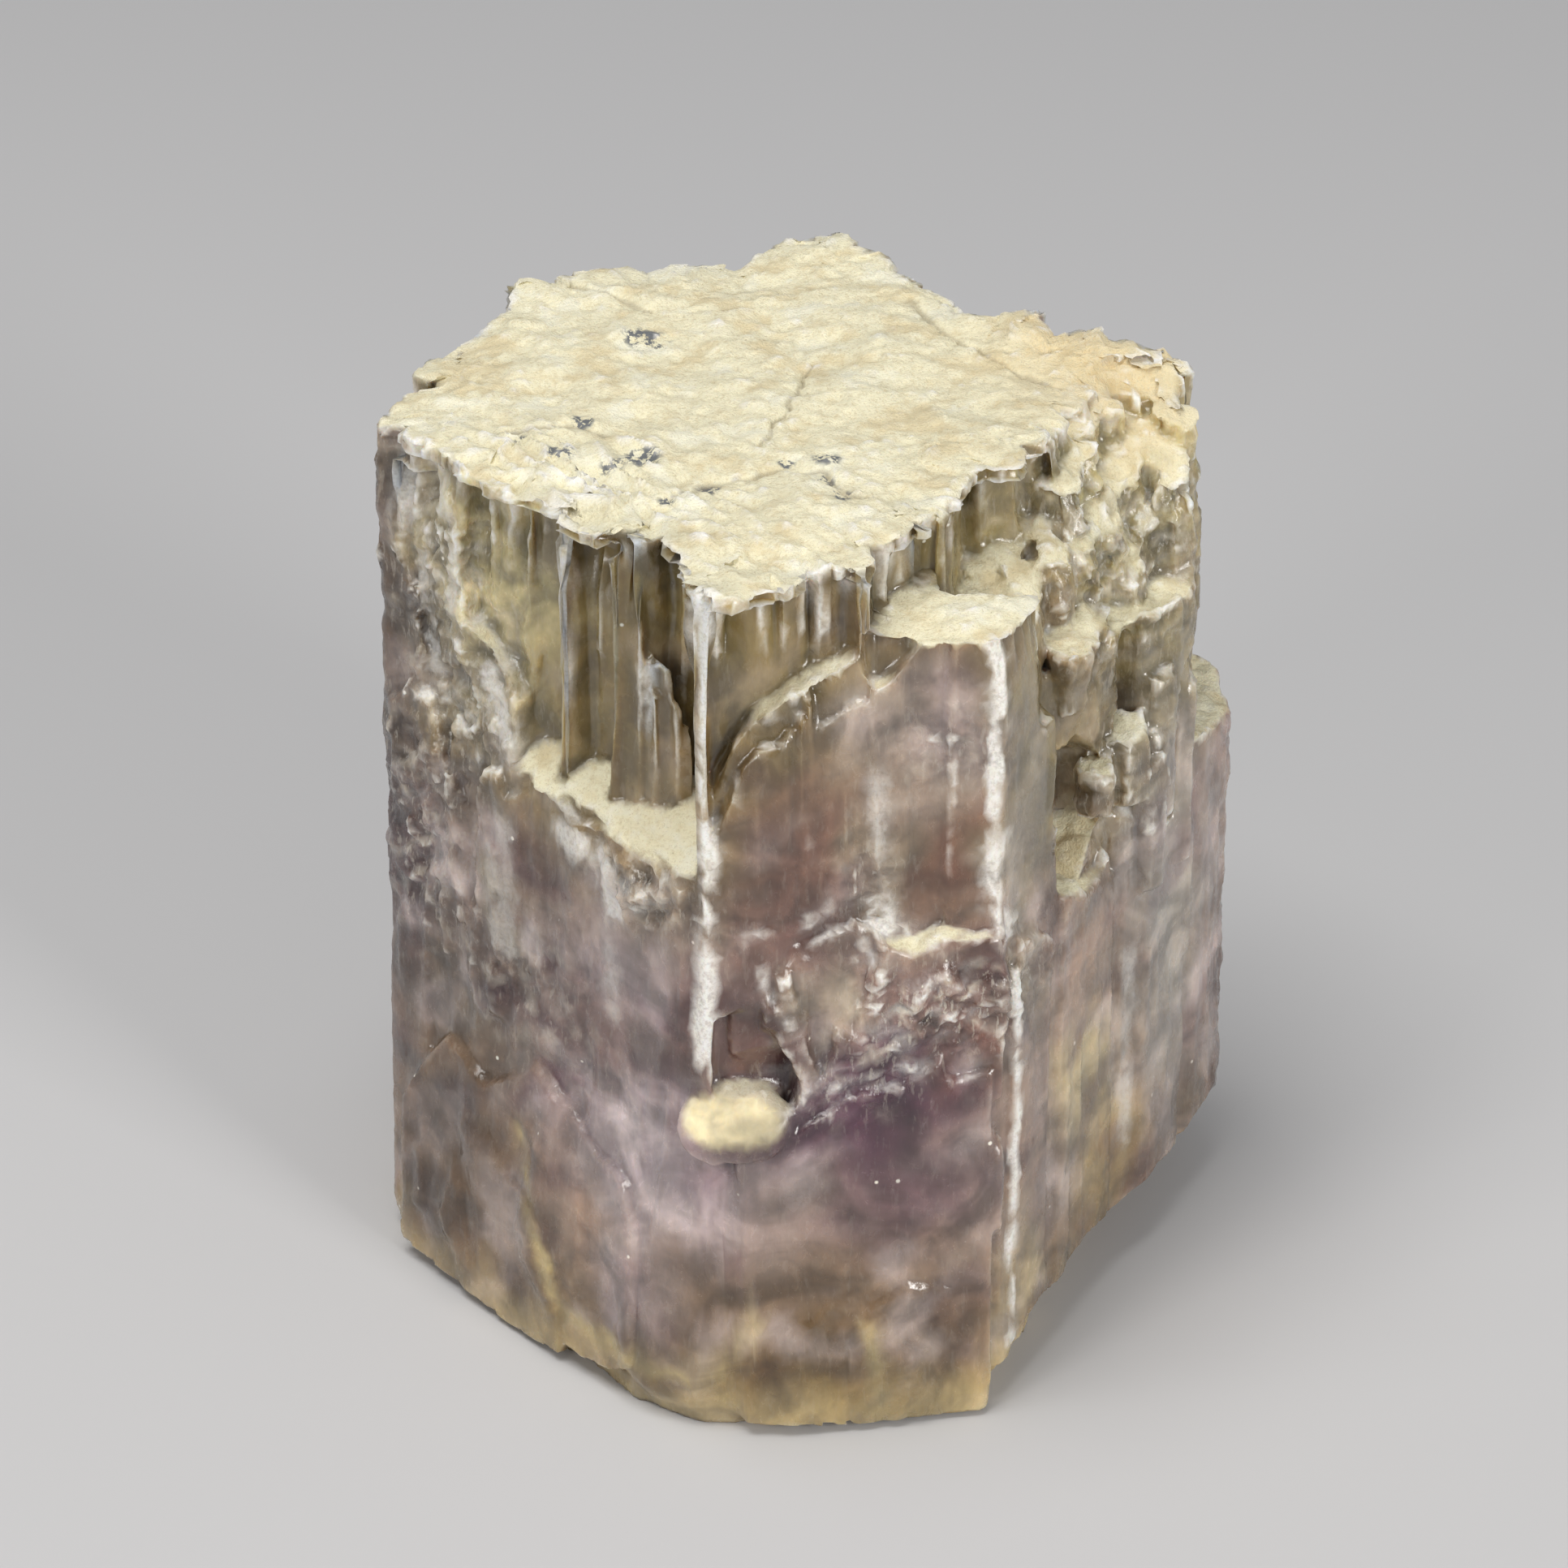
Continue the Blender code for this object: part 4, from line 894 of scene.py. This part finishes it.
# painted glints: a few small white specks painted in as highlights
painted_glint_flecks = nodes.new("ShaderNodeTexVoronoi")
links.new(stretched(0.75, 0.75), painted_glint_flecks.inputs["Vector"])
painted_glint_flecks.inputs["Scale"].default_value = 1.0
painted_glint_pick = nodes.new("ShaderNodeSeparateColor")
links.new(painted_glint_flecks.outputs["Color"], painted_glint_pick.inputs["Color"])
painted_glints = times(between(painted_glint_flecks.outputs["Distance"], 0.13, 0.06), between(painted_glint_pick.outputs[0], 0.92, 0.94))
side = blended(painted_glints, side, PAINTED_GLINT)

# Crust: cream grains with darker gaps, stained and bleached in places, rusty on the right, with sand between
# the grains, dark specks and cracks
grains = clouds(stretched(0.17, 0.17), 3.0, 0.7)
stain = clouds(stretched(1.7, 1.7), 4.0, 0.6)
cream = blended(between(grains, 0.34, 0.52), CREAM_GAP, CREAM)
cream = blended(between(stain, 0.50, 0.66, 0.0, 0.60), cream, CREAM_STAIN)
cream = blended(between(stain, 0.46, 0.34, 0.0, 0.70), cream, CREAM_BLEACHED)
cream = blended(times(reading("rust"), between(grains, 0.30, 0.62, 0.25, 0.65)), cream, CREAM_RUST)
sand = clouds(stretched(0.075, 0.075), 2.0, 0.6)
cream = blended(between(sand, 0.40, 0.30, 0.0, 0.5), cream, SAND)
dots = clouds(stretched(0.42, 0.42), 4.0, 0.7)
spotted = times(between(dots, 0.47, 0.54), between(reading("speck"), 0.20, 0.6))
cream = blended(spotted, cream, SPECK)
cream = blended(between(reading("crack"), 0.35, 0.95, 0.0, 0.5), cream, CRACK)

whole = blended(crust_share, side, cream)
whole = blended(times(frost_share, between(grains, 0.30, 0.60, 0.62, 1.0)), whole, WHITE_FROST)
put(shader.inputs["Base Color"], whole)

# The sides are glossy, and the crust and the frost are dull. Light scatters in the sides most of all
matt = mixed(dull_share, between(mottle, 0.30, 0.70, 0.14, 0.30), 0.78)
put(shader.inputs["Roughness"], mixed(frost_share, matt, 0.45))
gloss = times(minus(1.0, dull_share), minus(1.0, frost_share))
put(shader.inputs["Coat Weight"], times(gloss, 0.30))
shader.inputs["Coat Roughness"].default_value = 0.12
shader.inputs["IOR"].default_value = 1.6
put(shader.inputs["Subsurface Weight"], mixed(crust_share, 0.75, 0.08))
shader.inputs["Subsurface Radius"].default_value = (1.0, 0.75, 0.5)
shader.inputs["Subsurface Scale"].default_value = 0.0011

# Its fine relief: grit in the crust, threads and ripples down the sides
grit = times(plus(times(grains, 1.5), sand), mixed(crust_share, 0.08, 1.0))
sideways = times(minus(1.0, crust_share), mixed(rough_share, 0.10, 1.1))
ripples = times(plus(threads, times(mottle, 2.0)), sideways)
fine = nodes.new("ShaderNodeBump")
fine.inputs["Strength"].default_value = 0.55
fine.inputs["Distance"].default_value = 0.00009
put(fine.inputs["Height"], plus(grit, ripples))
put(shader.inputs["Normal"], fine.outputs["Normal"])

thinned.materials.clear()
thinned.materials.append(surface)
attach(crystal, "root")
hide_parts("aragonite_crystal")


# The floor, the light and the camera. None of it belongs to the part: a plain pale floor, a broad soft lamp
# overhead and two soft ones in front, and the camera where the photograph was taken from.

floor_shape = bmesh.new()
bmesh.ops.create_grid(floor_shape, x_segments=1, y_segments=1, size=3.0)
floor_mesh = bpy.data.meshes.new("floor")
floor_shape.to_mesh(floor_mesh)
floor_shape.free()
floor = bpy.data.objects.new("floor", floor_mesh)
bpy.context.scene.collection.objects.link(floor)
paper = bpy.data.materials.new("pale floor")
paper.use_nodes = True
paper.node_tree.nodes["Principled BSDF"].inputs["Base Color"].default_value = (0.60, 0.60, 0.61, 1)
paper.node_tree.nodes["Principled BSDF"].inputs["Roughness"].default_value = 0.8
floor_mesh.materials.append(paper)

MIDDLE = Vector((0.0, 0.0, 0.016))


def lamp(name, place, size, power, colour):
    """A soft rectangular lamp that shines on the middle of the crystal."""
    light = bpy.data.lights.new(name, "AREA")
    light.shape = "RECTANGLE"
    light.size, light.size_y = size
    light.energy = power
    light.color = colour
    stand = bpy.data.objects.new(name, light)
    bpy.context.scene.collection.objects.link(stand)
    stand.location = place
    stand.rotation_euler = (MIDDLE - Vector(place)).to_track_quat("-Z", "Y").to_euler()


lamp("overhead", (-0.06, -0.05, 0.30), (0.16, 0.16), 0.53, (1.0, 0.98, 0.95))
lamp("front_left", (-0.22, -0.26, 0.16), (0.08, 0.14), 0.28, (1.0, 0.97, 0.94))
lamp("front_right", (0.22, -0.26, 0.14), (0.08, 0.14), 0.62, (1.0, 0.98, 0.95))

air = bpy.data.worlds.new("room")
air.use_nodes = True
air.node_tree.nodes["Background"].inputs["Color"].default_value = (0.95, 0.97, 1.0, 1)
air.node_tree.nodes["Background"].inputs["Strength"].default_value = 0.25
bpy.context.scene.world = air
bpy.context.scene.view_settings.view_transform = "Standard"

TARGET = Vector((-0.8, 2.26, 16.0)) * MM
DISTANCE = 225 * MM
TILT = math.radians(30)
lens = bpy.data.cameras.new("camera")
lens.lens = 150.0
lens.sensor_width = 36.0
lens.clip_start = 0.01
camera = bpy.data.objects.new("camera", lens)
bpy.context.scene.collection.objects.link(camera)
camera.location = TARGET + Vector((0, -math.cos(TILT), math.sin(TILT))) * DISTANCE
camera.rotation_euler = (math.pi / 2 - TILT, 0, 0)
bpy.context.scene.camera = camera
